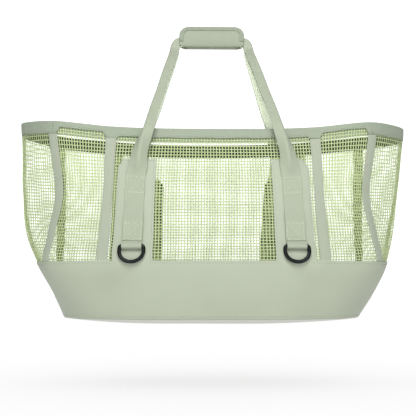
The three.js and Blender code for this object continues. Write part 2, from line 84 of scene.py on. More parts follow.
def area_light(name, place, aim, size, watts):
    data = bpy.data.lights.new(name, "AREA")
    data.shape = "RECTANGLE"
    data.size, data.size_y = size
    data.energy = watts
    lamp = bpy.data.objects.new(name, data)
    lamp.location = place
    lamp.rotation_euler = (Vector(aim) - Vector(place)).to_track_quat("-Z", "Y").to_euler()
    bpy.context.scene.collection.objects.link(lamp)
    return lamp


world = bpy.data.worlds.new("white room")
bpy.context.scene.world = world
world.use_nodes = True
world_tree = world.node_tree
room = world_tree.nodes["Background"]
room.inputs["Color"].default_value = (1, 1, 1, 1)
light_path = world_tree.nodes.new("ShaderNodeLightPath")
seen = world_tree.nodes.new("ShaderNodeMix")
world_tree.links.new(light_path.outputs["Is Camera Ray"], seen.inputs["Factor"])
seen.inputs["A"].default_value = ROOM_LIGHT
seen.inputs["B"].default_value = BACKDROP_LIGHT
world_tree.links.new(seen.outputs["Result"], room.inputs["Strength"])
bpy.context.scene.view_settings.view_transform = "Standard"
bpy.context.scene.view_settings.look = "None"
lamps = [
    area_light("front lamp", place=(-0.05, -1.8, 1.29), aim=(0, 0, -0.25), size=(1.4, 1.4), watts=50),
    area_light("fill lamp", place=(0.05, -2.4, -0.40), aim=(0, 0, -0.2), size=(3.0, 1.0), watts=18),
    area_light("back lamp", place=(0.30, 2.2, 0.60), aim=(0, 0, -0.25), size=(1.6, 1.6), watts=30),
]


def plain_plane(name, half, z):
    mesh = bpy.data.meshes.new(name)
    corners = [(-half, -half, z), (half, -half, z), (half, half, z), (-half, half, z)]
    mesh.from_pydata(corners, [], [(0, 1, 2, 3)])
    plane = bpy.data.objects.new(name, mesh)
    bpy.context.scene.collection.objects.link(plane)
    return plane


floor = plain_plane("floor", FLOOR_HALF, FLOOR_Z)
paper = bpy.data.materials.new("white paper")
paper.use_nodes = True
paper_shader = paper.node_tree.nodes["Principled BSDF"]
paper_shader.inputs["Base Color"].default_value = (PAPER_TONE, PAPER_TONE, PAPER_TONE, 1)
paper_shader.inputs["Roughness"].default_value = 1.0
paper_shader.inputs["Specular IOR Level"].default_value = 0.0
paper_shader.inputs["Emission Color"].default_value = (1, 1, 1, 1)
paper_shader.inputs["Emission Strength"].default_value = PAPER_GLOW
floor.data.materials.append(paper)
sun_data = bpy.data.lights.new("floor sun", "SUN")
sun_data.energy = SUN_STRENGTH
sun_data.angle = math.radians(SUN_SPREAD)
sun = bpy.data.objects.new("floor sun", sun_data)
sun.rotation_euler = (math.radians(SUN_LEAN), 0, 0)
bpy.context.scene.collection.objects.link(sun)
only_floor = bpy.data.collections.new("only the floor")
only_floor.objects.link(floor)
sun.light_linking.receiver_collection = only_floor
not_floor = bpy.data.collections.new("not the floor")
not_floor.objects.link(floor)
not_floor.collection_objects[0].light_linking.link_state = "EXCLUDE"
for lamp in lamps:
    lamp.light_linking.receiver_collection = not_floor
print("floor at", FLOOR_Z)

# %% [markdown]
# Every layer of the bag follows one wall surface: the net is its middle, the coated cloth lies just
# outside it and the straps outside that. The wall is a table of a few heights, with the middle of
# the front, the side strips, the corner strips and the two ends placed in each. Smooth curves run
# through them, first round the bag and then up it, so a place on the wall is a distance round and a
# distance up. The last two columns let the net swell on both sides of the end strips and make the
# back corners fuller than the front ones. This is the table that the solids use.

# %% The wall's surface
CLOTH, WEBBING, GAP = 1.2, 1.8, 0.4
NET_FACE = CLOTH / 2
SKIN = NET_FACE + GAP + CLOTH / 2
SKIN_OUT = SKIN + CLOTH / 2
STRAP_ON_SKIN = SKIN_OUT + GAP + WEBBING / 2
TAB_BACK = SKIN_OUT + 1.5 * GAP + CLOTH / 2
TAB_FRONT = TAB_BACK + CLOTH + GAP
STRAP_ON_TAB = TAB_FRONT + CLOTH / 2 + GAP + WEBBING / 2
SIDE_AT, CORNER_AT, END_AT = 163.0, 262.0, 365.0
BACK, ROUND = 2 * END_AT, 4 * END_AT
NET_FOOT, BASE_TOP, RIM_FOOT, RIM_TOP = 83.0, 91.0, 281.0, 301.0
WALL_COLUMNS = ("up", "zMid", "zSide", "zCorner", "zLeft", "zRight", "yMid", "xSide", "ySide",
                "xCorner", "yCorner", "xLeft", "xRight", "swell", "fuller")
WALL_ROWS = (
    (0, -442, -442, -442, -442, -442, 120, 135, 112, 205, 74, 237, 237, 0, 0),
    (43, -400, -400, -400, -400, -400, 133, 153, 123, 234, 84, 255, 265, 0, 0),
    (BASE_TOP, -354, -354, -354, -354, -354, 140, 168, 130, 257, 92, 280, 282, 1, 0),
    (130, -317, -317, -317, -317, -317, 130, 166, 121, 251, 87, 293, 288, 7, 5),
    (204, -245, -245, -244, -243, -244, 115, 162, 107, 239, 79, 305, 302, 6, 15),
    (260, -190, -188, -184, -182, -185, 104, 160, 98, 246, 84, 307, 310, 4, 11),
    (RIM_FOOT, -170, -166, -157, -150, -157, 100, 159, 94, 249, 88, 308, 313, 3, 9),
    (RIM_TOP, -150, -146, -137, -130, -137, 97, 159, 92, 250, 88, 310, 315, 2, 8),
)
SWELL_AT, FULLER_FROM = 28.0, 180.0


def bends(places, values):
    """Slope of the parabola through each value and its two neighbours."""
    gaps = np.diff(places).reshape((-1,) + (1,) * (values.ndim - 1))
    steps = np.diff(values, axis=0) / gaps
    middle = (steps[1:] * gaps[:-1] + steps[:-1] * gaps[1:]) / (gaps[:-1] + gaps[1:])
    return np.concatenate([steps[:1], middle, steps[-1:]])


def weights(places, at):
    """Which stretch of a curve each place lies on, and the four weights of its ends and slopes."""
    i = np.clip(np.searchsorted(places, at, side="left") - 1, 0, len(places) - 2)
    span = places[i + 1] - places[i]
    s = (at - places[i]) / span
    ends = (2 * s**3 - 3 * s**2 + 1, 3 * s**2 - 2 * s**3)
    return i, ends[0], ends[1], span * (s**3 - 2 * s**2 + s), span * (s**3 - s**2)


def through(places, values, at):
    """A smooth curve through values at uneven places."""
    places, values, at = (np.asarray(a, float) for a in (places, values, at))
    slope = bends(places, values)
    i, a, b, c, d = weights(places, at)
    wide = (slice(None),) + (None,) * (values.ndim - 1)
    return a[wide] * values[i] + b[wide] * values[i + 1] + c[wide] * slope[i] + d[wide] * slope[i + 1]


HALF_LOOP = [0, SIDE_AT, CORNER_AT, END_AT, BACK - CORNER_AT, BACK - SIDE_AT]
LOOP_AT = HALF_LOOP + [place + BACK for place in HALF_LOOP]
PLACES = np.array([p - ROUND for p in LOOP_AT[-2:]] + LOOP_AT + [p + ROUND for p in LOOP_AT[:3]])


def loop_of(row):
    """One row of the table as points once round the bag, with a few repeated so that the curve closes."""
    r = dict(zip(WALL_COLUMNS, row))
    side = (r["xSide"], r["ySide"], r["zSide"])
    corner = (r["xCorner"], r["yCorner"], r["zCorner"])
    signs = ((1, -1), (1, 1), (-1, 1), (-1, -1))
    s = [(side[0] * a, side[1] * b, side[2]) for a, b in signs]
    c = [(corner[0] * a, corner[1] * b, corner[2]) for a, b in signs]
    front, back = (0, -r["yMid"], r["zMid"]), (0, r["yMid"], r["zMid"])
    right, left = (r["xRight"], 0, r["zRight"]), (-r["xLeft"], 0, r["zLeft"])
    loop = [front, s[0], c[0], right, c[1], s[1], back, s[2], c[2], left, c[3], s[3]]
    return loop[-2:] + loop + loop[:3]


LOOPS = np.array([loop_of(row) for row in WALL_ROWS], float)
UPS = np.array([row[0] for row in WALL_ROWS], float)
MORE = np.array([row[-2:] for row in WALL_ROWS], float)


def more_outwards(at, up):
    """How far the net swells beside the end strips, and how much fuller the back corners are."""
    off_end = ((at % BACK - END_AT) / SWELL_AT) ** 2
    off_back = np.abs(at - BACK)
    rise = (off_back - FULLER_FROM) / (CORNER_AT - FULLER_FROM)
    fall = (off_back - END_AT) / (CORNER_AT - END_AT)
    s = np.clip(np.where(off_back < CORNER_AT, rise, fall), 0, 1)
    shares = np.stack([off_end * np.exp(1 - off_end), s * s * (3 - 2 * s)], axis=-1)
    return np.sum(through(UPS, MORE, up) * shares, axis=-1)


def surface(at, up):
    """Points of the wall's middle surface, in millimetres, for arrays of places round and up it."""
    at, up = np.broadcast_arrays(np.asarray(at, float), np.asarray(up, float))
    flat_at, flat_up = at.ravel() % ROUND, up.ravel()
    rows = np.stack([through(PLACES, loop, flat_at) for loop in LOOPS])
    slope = bends(UPS, rows)
    i, a, b, c, d = weights(UPS, flat_up)
    n = np.arange(len(flat_up))
    points = (a[:, None] * rows[i, n] + b[:, None] * rows[i + 1, n]
              + c[:, None] * slope[i, n] + d[:, None] * slope[i + 1, n])
    points[:, 0] += np.where(flat_at < BACK, 1, -1) * more_outwards(flat_at, flat_up)
    return points.reshape(at.shape + (3,))


def unit(v):
    return v / np.maximum(np.linalg.norm(v, axis=-1, keepdims=True), 1e-12)


def directions(at, up):
    """The wall's directions at a place: round the bag, up the wall and out of it."""
    along = unit(surface(np.add(at, 1), up) - surface(np.subtract(at, 1), up))
    rise = unit(surface(at, np.add(up, 1)) - surface(at, np.subtract(up, 1)))
    return along, rise, unit(np.cross(along, rise))


def wall(at, up, out=0.0):
    """Points at a distance out from the wall's middle surface, in millimetres."""
    out = np.asarray(out, float)
    return surface(at, up) + directions(at, up)[2] * out[..., None]


print("wall reaches", np.round(wall([0, END_AT], [RIM_TOP, RIM_TOP]), 1).tolist())

# %% [markdown]
# Materials are nodes only. Each cloth reads the piece's own UV map, which is laid out in metres
# along and across the cloth, so a weave keeps its real size wherever the cloth goes. A small kit of
# helpers keeps the node trees short enough to read.

# %% Node helpers
def new_material(name):
    material = bpy.data.materials.new(name)
    material.use_nodes = True
    return material, material.node_tree, material.node_tree.nodes["Principled BSDF"]


def node(tree, kind, **settings):
    """A new node. A setting that names one of its sockets goes there, and any other is a property."""
    made = tree.nodes.new(kind)
    for key, value in settings.items():
        if key in made.inputs:
            made.inputs[key].default_value = value
        else:
            setattr(made, key, value)
    return made


def math_node(tree, operation, *values):
    """A sum on numbers or on other nodes' outputs."""
    made = tree.nodes.new("ShaderNodeMath")
    made.operation = operation
    for socket, value in zip(made.inputs, values):
        if isinstance(value, (int, float)):
            socket.default_value = value
        else:
            tree.links.new(value, socket)
    return made.outputs[0]


def cloth_place(tree):
    """The two cloth directions, in metres."""
    uv = node(tree, "ShaderNodeUVMap", uv_map="cloth")
    split = node(tree, "ShaderNodeSeparateXYZ")
    tree.links.new(uv.outputs[0], split.inputs[0])
    return uv.outputs[0], split.outputs[0], split.outputs[1]


def wave(tree, place, pitch):
    """A wave that repeats every pitch millimetres along a direction."""
    turns = math_node(tree, "MULTIPLY", place, 2 * math.pi / (pitch * MM))
    return math_node(tree, "SINE", turns)


def from_0_to_1(tree, swing):
    return math_node(tree, "MULTIPLY_ADD", swing, 0.5, 0.5)


def two_parts(tree, first, part, second):
    """A sum in which the first value has a given part and the second one the rest."""
    rest = math_node(tree, "MULTIPLY", second, 1 - part)
    return math_node(tree, "MULTIPLY_ADD", first, part, rest)


def mottle(tree, vector, scale):
    noise = node(tree, "ShaderNodeTexNoise", Scale=scale, Detail=3.0, Roughness=0.55)
    tree.links.new(vector, noise.inputs["Vector"])
    return noise.outputs["Fac"]


def blend_colours(tree, share, first, second):
    mix = node(tree, "ShaderNodeMix", data_type="RGBA")
    a, b = [s for s in mix.inputs if s.type == "RGBA"][:2]
    a.default_value = (*first, 1)
    b.default_value = (*second, 1)
    tree.links.new(share, mix.inputs[0])
    return [s for s in mix.outputs if s.type == "RGBA"][0]


def bump_from(tree, height, strength, depth_mm):
    bump = node(tree, "ShaderNodeBump", Strength=strength, Distance=depth_mm * MM)
    tree.links.new(height, bump.inputs["Height"])
    return bump.outputs["Normal"]


def two_tones(tree, share, colour, darker, lighter):
    first, second = (tuple(c * factor for c in colour) for factor in (darker, lighter))
    return blend_colours(tree, share, first, second)


def join_up(tree, shader, tone, rough, normal):
    for socket, value in (("Base Color", tone), ("Roughness", rough), ("Normal", normal)):
        tree.links.new(value, shader.inputs[socket])


print("helpers ready")

# %% [markdown]
# The base is a smooth cloth with a rubbery coating. Seen close it has a very fine plain weave under
# the coating, and seen from afar it is a little cloudy. The weave is two sine waves multiplied
# together, which gives the raised squares of a plain weave, and soft noise makes the clouds. The
# grip is covered in the same kind of cloth. Through the net the inside of the bag looks dark green,
# so the faces that look inwards are painted near-black green: painted shade of the bag's inside.

# %% Coated cloth
# GREY_SAGE_AND_FLOOR_LIGHT is the bottom's greyer tone, made paler as painted light from the floor on the
# underside.
SAGE, GREY_SAGE_AND_FLOOR_LIGHT = (0.422, 0.465, 0.359), (0.600, 0.605, 0.548)
# SHADE_GREEN is painted shade: a near-black green standing in for the shade inside the bag.
DEEP_SAGE, SHADE_GREEN = (0.328, 0.370, 0.278), (0.028, 0.042, 0.016)


def plain_weave(tree, u, v, pitch):
    squares = math_node(tree, "MULTIPLY", wave(tree, u, pitch), wave(tree, v, pitch))
    return from_0_to_1(tree, squares)


def coated_cloth(name, colour, weave_mm, rough):
    material, tree, shader = new_material(name)
    uv, u, v = cloth_place(tree)
    weave = plain_weave(tree, u, v, weave_mm)
    cloud = mottle(tree, uv, scale=16.0)
    tone = two_tones(tree, two_parts(tree, weave, 0.22, cloud), colour, darker=0.93, lighter=1.06)
    grain = math_node(tree, "MULTIPLY_ADD", mottle(tree, uv, scale=420.0), 0.6, weave)
    dull = math_node(tree, "MULTIPLY_ADD", cloud, 0.16, rough - 0.08)
    join_up(tree, shader, tone, dull, bump_from(tree, grain, strength=0.35, depth_mm=0.06))
    shader.inputs["Sheen Weight"].default_value = 0.08
    shader.inputs["Specular IOR Level"].default_value = 0.35
    return material


BASE_CLOTH = coated_cloth("coated cloth", SAGE, weave_mm=0.9, rough=0.58)
# The bottom cloth's paleness is partly painted light from the floor below.
BOTTOM_CLOTH = coated_cloth("bottom cloth", GREY_SAGE_AND_FLOOR_LIGHT, weave_mm=1.1, rough=0.66)
GRIP_CLOTH = coated_cloth("grip cloth", DEEP_SAGE, weave_mm=1.0, rough=0.62)
# Painted shade: the inward faces get this near-black green in place of the shade inside the bag.
INSIDE_SHADE = coated_cloth("painted inside shade", SHADE_GREEN, weave_mm=0.9, rough=0.7)
print("coated cloths:", BASE_CLOTH.name, BOTTOM_CLOTH.name, GRIP_CLOTH.name, INSIDE_SHADE.name)

# %% [markdown]
# Webbing is woven in ribs that run along it, with the picks of the weft showing as short bars
# across each rib. The bars of neighbouring ribs are staggered by half a step. The grooves between
# ribs are darker, because light reaches them less and dust stays there. The hem and the grip's edge
# are flatter tapes with a diagonal twill.

# %% Webbing and tape
def webbing(name, colour, rib_mm, pick_mm, depth_mm):
    material, tree, shader = new_material(name)
    uv, along, across = cloth_place(tree)
    rib = from_0_to_1(tree, wave(tree, across, rib_mm))
    row = math_node(tree, "FLOOR", math_node(tree, "DIVIDE", across, rib_mm * MM))
    shifted = math_node(tree, "MULTIPLY_ADD", row, pick_mm * MM / 2, along)
    pick = from_0_to_1(tree, wave(tree, shifted, pick_mm))
    height = two_parts(tree, pick, 0.35, rib)
    cloud = mottle(tree, uv, scale=60.0)
    tone = two_tones(tree, two_parts(tree, height, 0.55, cloud), colour, darker=0.86, lighter=1.11)
    dull = math_node(tree, "MULTIPLY_ADD", cloud, 0.2, 0.62)
    join_up(tree, shader, tone, dull, bump_from(tree, height, strength=0.6, depth_mm=depth_mm))
    shader.inputs["Sheen Weight"].default_value = 0.12
    shader.inputs["Specular IOR Level"].default_value = 0.3
    return material


def twill_tape(name, colour, pitch_mm):
    material, tree, shader = new_material(name)
    uv, along, across = cloth_place(tree)
    slant = math_node(tree, "MULTIPLY_ADD", across, 0.8, along)
    line = from_0_to_1(tree, wave(tree, slant, pitch_mm))
    cloud = mottle(tree, uv, scale=45.0)
    tone = two_tones(tree, two_parts(tree, line, 0.35, cloud), colour, darker=0.90, lighter=1.08)
    dull = math_node(tree, "MULTIPLY_ADD", cloud, 0.2, 0.6)
    join_up(tree, shader, tone, dull, bump_from(tree, line, strength=0.4, depth_mm=0.12))
    shader.inputs["Sheen Weight"].default_value = 0.1
    shader.inputs["Specular IOR Level"].default_value = 0.3
    return material


STRAP_SAGE, STRIP_SAGE = (0.394, 0.436, 0.333), (0.400, 0.440, 0.345)
HEM_SAGE, BINDING_SAGE = (0.326, 0.376, 0.287), (0.300, 0.345, 0.262)
STRAP_WEB = webbing("strap webbing", STRAP_SAGE, rib_mm=2.1, pick_mm=1.7, depth_mm=0.28)
STRIP_WEB = webbing("strip webbing", STRIP_SAGE, rib_mm=1.8, pick_mm=1.5, depth_mm=0.22)
HEM_TAPE = twill_tape("hem tape", HEM_SAGE, pitch_mm=1.3)
EDGE_TAPE = twill_tape("grip binding", BINDING_SAGE, pitch_mm=1.1)
print("tapes:", STRAP_WEB.name, STRIP_WEB.name, HEM_TAPE.name, EDGE_TAPE.name)

# %% [markdown]
# The net is thread dipped in soft plastic, yellower and brighter than the cloth, with a slight
# shine. Its strands are partly see-through, because the white backdrop washes them out in the
# photograph and solid strands stay too dark. The rings are metal with black paint, a little uneven
# and only slightly glossy. Most sewing thread is slightly darker than the cloth, and a pale thread
# sews the straps down. These four read Object coordinates, because their pieces carry no cloth map.

# %% Net, paint and thread
def speckled(name, colour, scale, spread, rough, bump_mm, **more):
    """A finish that is uneven at one scale. What else is given goes to the shader's own sockets."""
    material, tree, shader = new_material(name)
    place = node(tree, "ShaderNodeTexCoord").outputs["Object"]
    speck = mottle(tree, place, scale)
    tone = two_tones(tree, speck, colour, darker=1 - spread, lighter=1 + spread)
    dull = math_node(tree, "MULTIPLY_ADD", speck, 0.2, rough - 0.1)
    join_up(tree, shader, tone, dull, bump_from(tree, speck, strength=0.3, depth_mm=bump_mm))
    for socket, value in more.items():
        shader.inputs[socket].default_value = value
    return material


NET_COAT = speckled("net coating", (0.69, 0.81, 0.44), scale=260.0, spread=0.10, rough=0.45, bump_mm=0.1,
                    Alpha=0.53)
THREAD = speckled("sewing thread", (0.36, 0.41, 0.31), scale=900.0, spread=0.15, rough=0.7, bump_mm=0.05)
PALE_THREAD = speckled("pale thread", (0.64, 0.68, 0.54), scale=900.0, spread=0.1, rough=0.6, bump_mm=0.05)
GLOSS = {"Specular IOR Level": 0.2, "Coat Weight": 0.04, "Coat Roughness": 0.12}
RING_PAINT = speckled("ring paint", (0.006, 0.007, 0.007), scale=700.0, spread=0.25, rough=0.36, bump_mm=0.01,
                      **GLOSS)
print("coats:", NET_COAT.name, THREAD.name, PALE_THREAD.name, RING_PAINT.name)

# %% [markdown]
# A cloth piece starts as one sheet of quads with a cloth map in metres. Solidify gives it the
# thickness of the real cloth and a small bevel rounds its cut edges. The modifiers are baked at
# once, so that each piece is a plain mesh.

# %% Sheets
def new_object(name, mesh):
    made = bpy.data.objects.new(name, mesh)
    bpy.context.scene.collection.objects.link(made)
    return made


def bake(piece):
    """Turns what the modifiers make into the piece's own mesh."""
    graph = bpy.context.evaluated_depsgraph_get()
    finished = piece.evaluated_get(graph)
    mesh = bpy.data.meshes.new_from_object(finished, preserve_all_data_layers=True, depsgraph=graph)
    piece.modifiers.clear()
    piece.data = mesh
    return piece


def grid_quads(points):
    """The number of each point of a grid, and the four corners of each of its squares."""
    number = np.arange(points.shape[0] * points.shape[1]).reshape(points.shape[:2])
    return number, np.stack([number[:-1, :-1], number[1:, :-1], number[1:, 1:], number[:-1, 1:]], axis=-1)


def sheet_object(name, points, cloth_map, material, keep=None):
    """A sheet of quads through a grid of points in millimetres."""
    quads = grid_quads(points)[1]
    quads = quads.reshape(-1, 4) if keep is None else quads[keep]
    used, quads = np.unique(quads, return_inverse=True)
    quads = quads.reshape(-1, 4)
    mesh = bpy.data.meshes.new(name)
    mesh.from_pydata((points.reshape(-1, 3)[used] * MM).tolist(), [], quads.tolist())
    layer = mesh.uv_layers.new(name="cloth")
    layer.data.foreach_set("uv", (cloth_map.reshape(-1, 2)[used][quads.ravel()] * MM).ravel())
    mesh.materials.append(material)
    return new_object(name, mesh)


CUT_ANGLE = 50


def thicken(piece, thick, soft=0.35):
    solid = piece.modifiers.new("thickness", "SOLIDIFY")
    solid.thickness = thick * MM
    solid.offset = 0
    solid.use_quality_normals = True
    edge = piece.modifiers.new("soft edge", "BEVEL")
    edge.width = soft * MM
    edge.segments = 2
    edge.limit_method = "ANGLE"
    edge.angle_limit = math.radians(CUT_ANGLE)
    bake(piece)
    piece.data.shade_smooth()
    return piece


MOSTLY_ACROSS, LOOKS_IN = 9.0, -0.35


def paint_inside_shade(piece):
    """Paints the faces that look into the bag with the inside's painted shade. Out of a long bag is mostly
    across it.
    """
    piece.data.materials.append(INSIDE_SHADE)
    for face in piece.data.polygons:
        out = Vector((face.center.x / MOSTLY_ACROSS, face.center.y, 0)).normalized()
        if face.normal.dot(out) < LOOKS_IN:
            face.material_index = 1
    return piece


def points_of(mesh):
    flat = np.empty(len(mesh.vertices) * 3)
    mesh.vertices.foreach_get("co", flat)
    return flat.reshape(-1, 3)


def flipped_to_back(piece, name):
    """The same piece on the back of the bag: its mesh mirrored, with the faces turned right way out again."""
    mesh = piece.data.copy()
    mesh.vertices.foreach_set("co", (points_of(mesh) * (1, -1, 1)).ravel())
    mesh.flip_normals()
    mesh.update()
    return new_object(name, mesh)


def steps(first, last, pitch, also=()):
    """Evenly spaced places from first to last, and some that have to be there."""
    count = max(1, round((last - first) / pitch))
    return np.unique(np.concatenate([np.linspace(first, last, count + 1), np.asarray(also, float)]))


def lengths_along(line):
    """The distance along a line to each of its points."""
    return np.concatenate([[0], np.cumsum(np.linalg.norm(np.diff(line, axis=0), axis=1))])


def tris(piece):
    return sum(len(p.vertices) - 2 for p in piece.data.polygons)


print("sheet tools ready")

# %% [markdown]
# The base is a strip of coated cloth round the foot of the bag, in two halves that meet at the
# ends. Two tongues of the same cloth rise from each half to carry the straps. One top corner of
# each is cut off, the outer one in front and the inner one behind, where the tongues are a little
# shorter too. The sheet is a grid on the wall with the squares between the tongues left out. The
# cloth is pulled in along its sewn edges and has shallow hollows that run down from the rings
# towards the corners, where the weight pulls.

# %% Base and tongues
SEAM = 0.2
TONGUE_IN, TONGUE_OUT, TONGUE_CUT = 88.0, 148.0, (9.0, 13.0)
TONGUE_TOP, BACK_TONGUE_TOP = 252.0, 242.0
BACK_TONGUE_LEFT, BACK_TONGUE_RIGHT = (79.0, 79.0), (84.0, 94.0)
TONGUE_AT, TONGUE_CLEAR, BASE_SEAM_UP = 118.0, 29.0, 87.0
GROOVE_DEEP, GROOVE_WIDE = 0.35, 1.6
PUCKER_HIGH, PUCKER_LONG, PUCKER_WIDE = 0.35, 6.1, 9.0
HOLLOW_DEEP, HOLLOW_WIDE, HOLLOW_UP, HOLLOW_TALL = 4.2, 24.0, 46.0, 30.0
HOLLOW_FROM, HOLLOW_SLANT = (128.0, 80.0), (62.0, 60.0)
SWAY_HIGH, SWAY_UP, SWAY_TALL = 1.3, 40.0, 34.0


def bump_at(place, middle, width):
    return np.exp(-((place - middle) / width) ** 2)


def ripple(place, high, long):
    return high * np.sin(place / long)


def base_relief(at, up):
    """How far the base cloth stands out from its even surface."""
    beside_tongue = np.abs(np.abs(at) - TONGUE_AT) > TONGUE_CLEAR
    groove = -GROOVE_DEEP * bump_at(up, BASE_SEAM_UP, GROOVE_WIDE) * beside_tongue
    pucker = ripple(at, PUCKER_HIGH, PUCKER_LONG) * bump_at(up, BASE_TOP, PUCKER_WIDE)
    hollow_at = HOLLOW_FROM[0] + HOLLOW_SLANT[0] * ((HOLLOW_FROM[1] - up) / HOLLOW_SLANT[1])
    hollow = -HOLLOW_DEEP * bump_at(np.abs(at), hollow_at, HOLLOW_WIDE) * bump_at(up, HOLLOW_UP, HOLLOW_TALL)
    sway = SWAY_HIGH * np.sin(at / 83 + 0.7) * np.sin(up / 33 + 0.4) * (up < BASE_TOP)
    return groove + pucker + hollow + sway * bump_at(up, SWAY_UP, SWAY_TALL)


def tongue_shape(at, up, top, cut_outer, edges):
    """Leans the inner edge of each tongue and cuts one top corner off it by lowering its columns."""
    foot, head = (np.where(at < 0, edges[0][k], edges[1][k]) for k in (0, 1))
    share = np.clip((up - BASE_TOP) / (top - BASE_TOP), 0, 1)
    from_out = TONGUE_OUT - np.abs(at)
    lean = (head - foot) * share * np.clip(from_out / (TONGUE_OUT - foot), 0, 1)
    from_corner = from_out if cut_outer else np.abs(at) - foot
    lowest = top - TONGUE_CUT[1] * np.clip(1 - from_corner / TONGUE_CUT[0], 0, 1)
    return at + np.sign(at) * lean, np.where(up > BASE_TOP, BASE_TOP + share * (lowest - BASE_TOP), up)


def base_piece(name, start, top, cut_outer, edges):
    """One half of the base. The edges are the inner edges, foot and head, of the tongues at its two sides."""
    marks = [sign * mark for sign, (foot, head) in zip((-1, 1), edges) for inset in (0, 3, 6, 9)
             for mark in (foot + inset, TONGUE_OUT - inset)]
    ats = steps(-END_AT + SEAM, END_AT - SEAM, 5.0, marks)
    low_ups = steps(0, BASE_TOP, 4.5, (BASE_SEAM_UP - 3, BASE_SEAM_UP, BASE_SEAM_UP + 2))
    ups = np.concatenate([low_ups, steps(BASE_TOP, top, 6.0, (top - 3,))[1:]])
    at, up = tongue_shape(*np.meshgrid(ats, ups, indexing="ij"), top, cut_outer, edges)
    points = wall(start + at, up, SKIN + base_relief(at, up))
    middle_at = ((ats[:-1] + ats[1:]) / 2)[:, None]
    middle_up = ((ups[:-1] + ups[1:]) / 2)[None, :]
    inner = np.where(middle_at < 0, edges[0][0], edges[1][0])
    kept = (middle_up < BASE_TOP) | ((np.abs(middle_at) > inner) & (np.abs(middle_at) < TONGUE_OUT))
    piece = sheet_object(name, points, np.stack([at, up], axis=-1), BASE_CLOTH, kept)
    return paint_inside_shade(thicken(piece, CLOTH))


FRONT_EDGES = ((TONGUE_IN, TONGUE_IN),) * 2
BACK_EDGES = (BACK_TONGUE_RIGHT, BACK_TONGUE_LEFT)
base_front = base_piece("base_front_cloth", 0, TONGUE_TOP, True, FRONT_EDGES)
base_back = base_piece("base_back_cloth", BACK, BACK_TONGUE_TOP, False, BACK_EDGES)
print("base:", tris(base_front), tris(base_back), "triangles")

# %% [markdown]
# The bottom panel closes the foot of the wall. It is a lens of cloth that hangs a little lower in
# its middle. Each line of the sheet runs from the front edge to the back edge, so the panel narrows
# to the two ends.

# %% Bottom panel
BOTTOM_SAG, BOTTOM_FLAT_X, BOTTOM_FLAT_SHARE, FOOT_END = 8.0, 60.0, 0.5, 237.0
bottom_at = np.concatenate([[-359], steps(-346, 346, 8), [359]])
bottom_share = steps(-1, 1, 0.08)
edge = wall(bottom_at, np.zeros_like(bottom_at), SKIN - CLOTH / 2 - 2 * GAP)[:, None, :]
past = np.clip(np.abs(edge[..., 0]) - BOTTOM_FLAT_X, 0, None) / (FOOT_END - BOTTOM_FLAT_X)
off = np.clip(np.abs(bottom_share) - BOTTOM_FLAT_SHARE, 0, None)[None, :] / (1 - BOTTOM_FLAT_SHARE)
sag = BOTTOM_SAG * np.clip(1 - past**2, 0, None) * (1 - off**2)
fade = 1 - np.abs(bottom_share[None, :])
unevenness = ripple(edge[..., 0], high=0.5, long=31) * np.cos(bottom_share[None, :] * 4) * fade
bottom_points = np.stack([np.broadcast_to(edge[..., 0], sag.shape), -edge[..., 1] * bottom_share[None, :],
                          edge[..., 2] - sag - CLOTH / 2 + unevenness], axis=-1)
bottom = sheet_object("base_bottom_cloth", bottom_points, bottom_points[..., :2], BOTTOM_CLOTH)
thicken(bottom, CLOTH)
print("bottom:", tris(bottom), "triangles")

# %% [markdown]
# The net is the bag's main wall, open squares about five millimetres apart. A picture of holes
# would look flat from the side, so each strand is real. The script lays out bare lines on the wall,
# one for each strand, passing over and under its neighbours. Geometry Nodes then sweeps a round
# section along them and flattens it against the wall, so that one small tree makes all four panels.

# %% A tree that makes strands
def new_tree(name, sizes):
    """A Geometry Nodes tree with named inputs for its sizes and one for its material."""
    tree = bpy.data.node_groups.new(name, "GeometryNodeTree")
    tree.interface.new_socket("Lines", in_out="INPUT", socket_type="NodeSocketGeometry")
    for size, value in sizes.items():
        socket = tree.interface.new_socket(size, in_out="INPUT", socket_type="NodeSocketFloat")
        socket.default_value = value
    tree.interface.new_socket("Material", in_out="INPUT", socket_type="NodeSocketMaterial")
    tree.interface.new_socket("Made", in_out="OUTPUT", socket_type="NodeSocketGeometry")
    return tree, tree.nodes.new("NodeGroupInput"), tree.nodes.new("NodeGroupOutput")


def vector_math(tree, operation, first, second):
    made = node(tree, "ShaderNodeVectorMath", operation=operation)
    tree.links.new(first, made.inputs[0])
    tree.links.new(second, made.inputs["Scale"] if operation == "SCALE" else made.inputs[1])
    return made.outputs["Value"] if operation == "DOT_PRODUCT" else made.outputs["Vector"]


def stored_vector(tree, name):
    made = node(tree, "GeometryNodeInputNamedAttribute", data_type="FLOAT_VECTOR")
    made.inputs["Name"].default_value = name
    return made.outputs["Attribute"]


def end_tree(tree, given, made, geometry):
    """Realises what was made, smooths it and gives it its material."""
    real = node(tree, "GeometryNodeRealizeInstances")
    smooth = node(tree, "GeometryNodeSetShadeSmooth")
    painted = node(tree, "GeometryNodeSetMaterial")
    tree.links.new(geometry, real.inputs[0])
    tree.links.new(real.outputs[0], smooth.inputs[0])
    tree.links.new(smooth.outputs[0], painted.inputs[0])
    tree.links.new(given.outputs["Material"], painted.inputs["Material"])
    tree.links.new(painted.outputs[0], made.inputs[0])


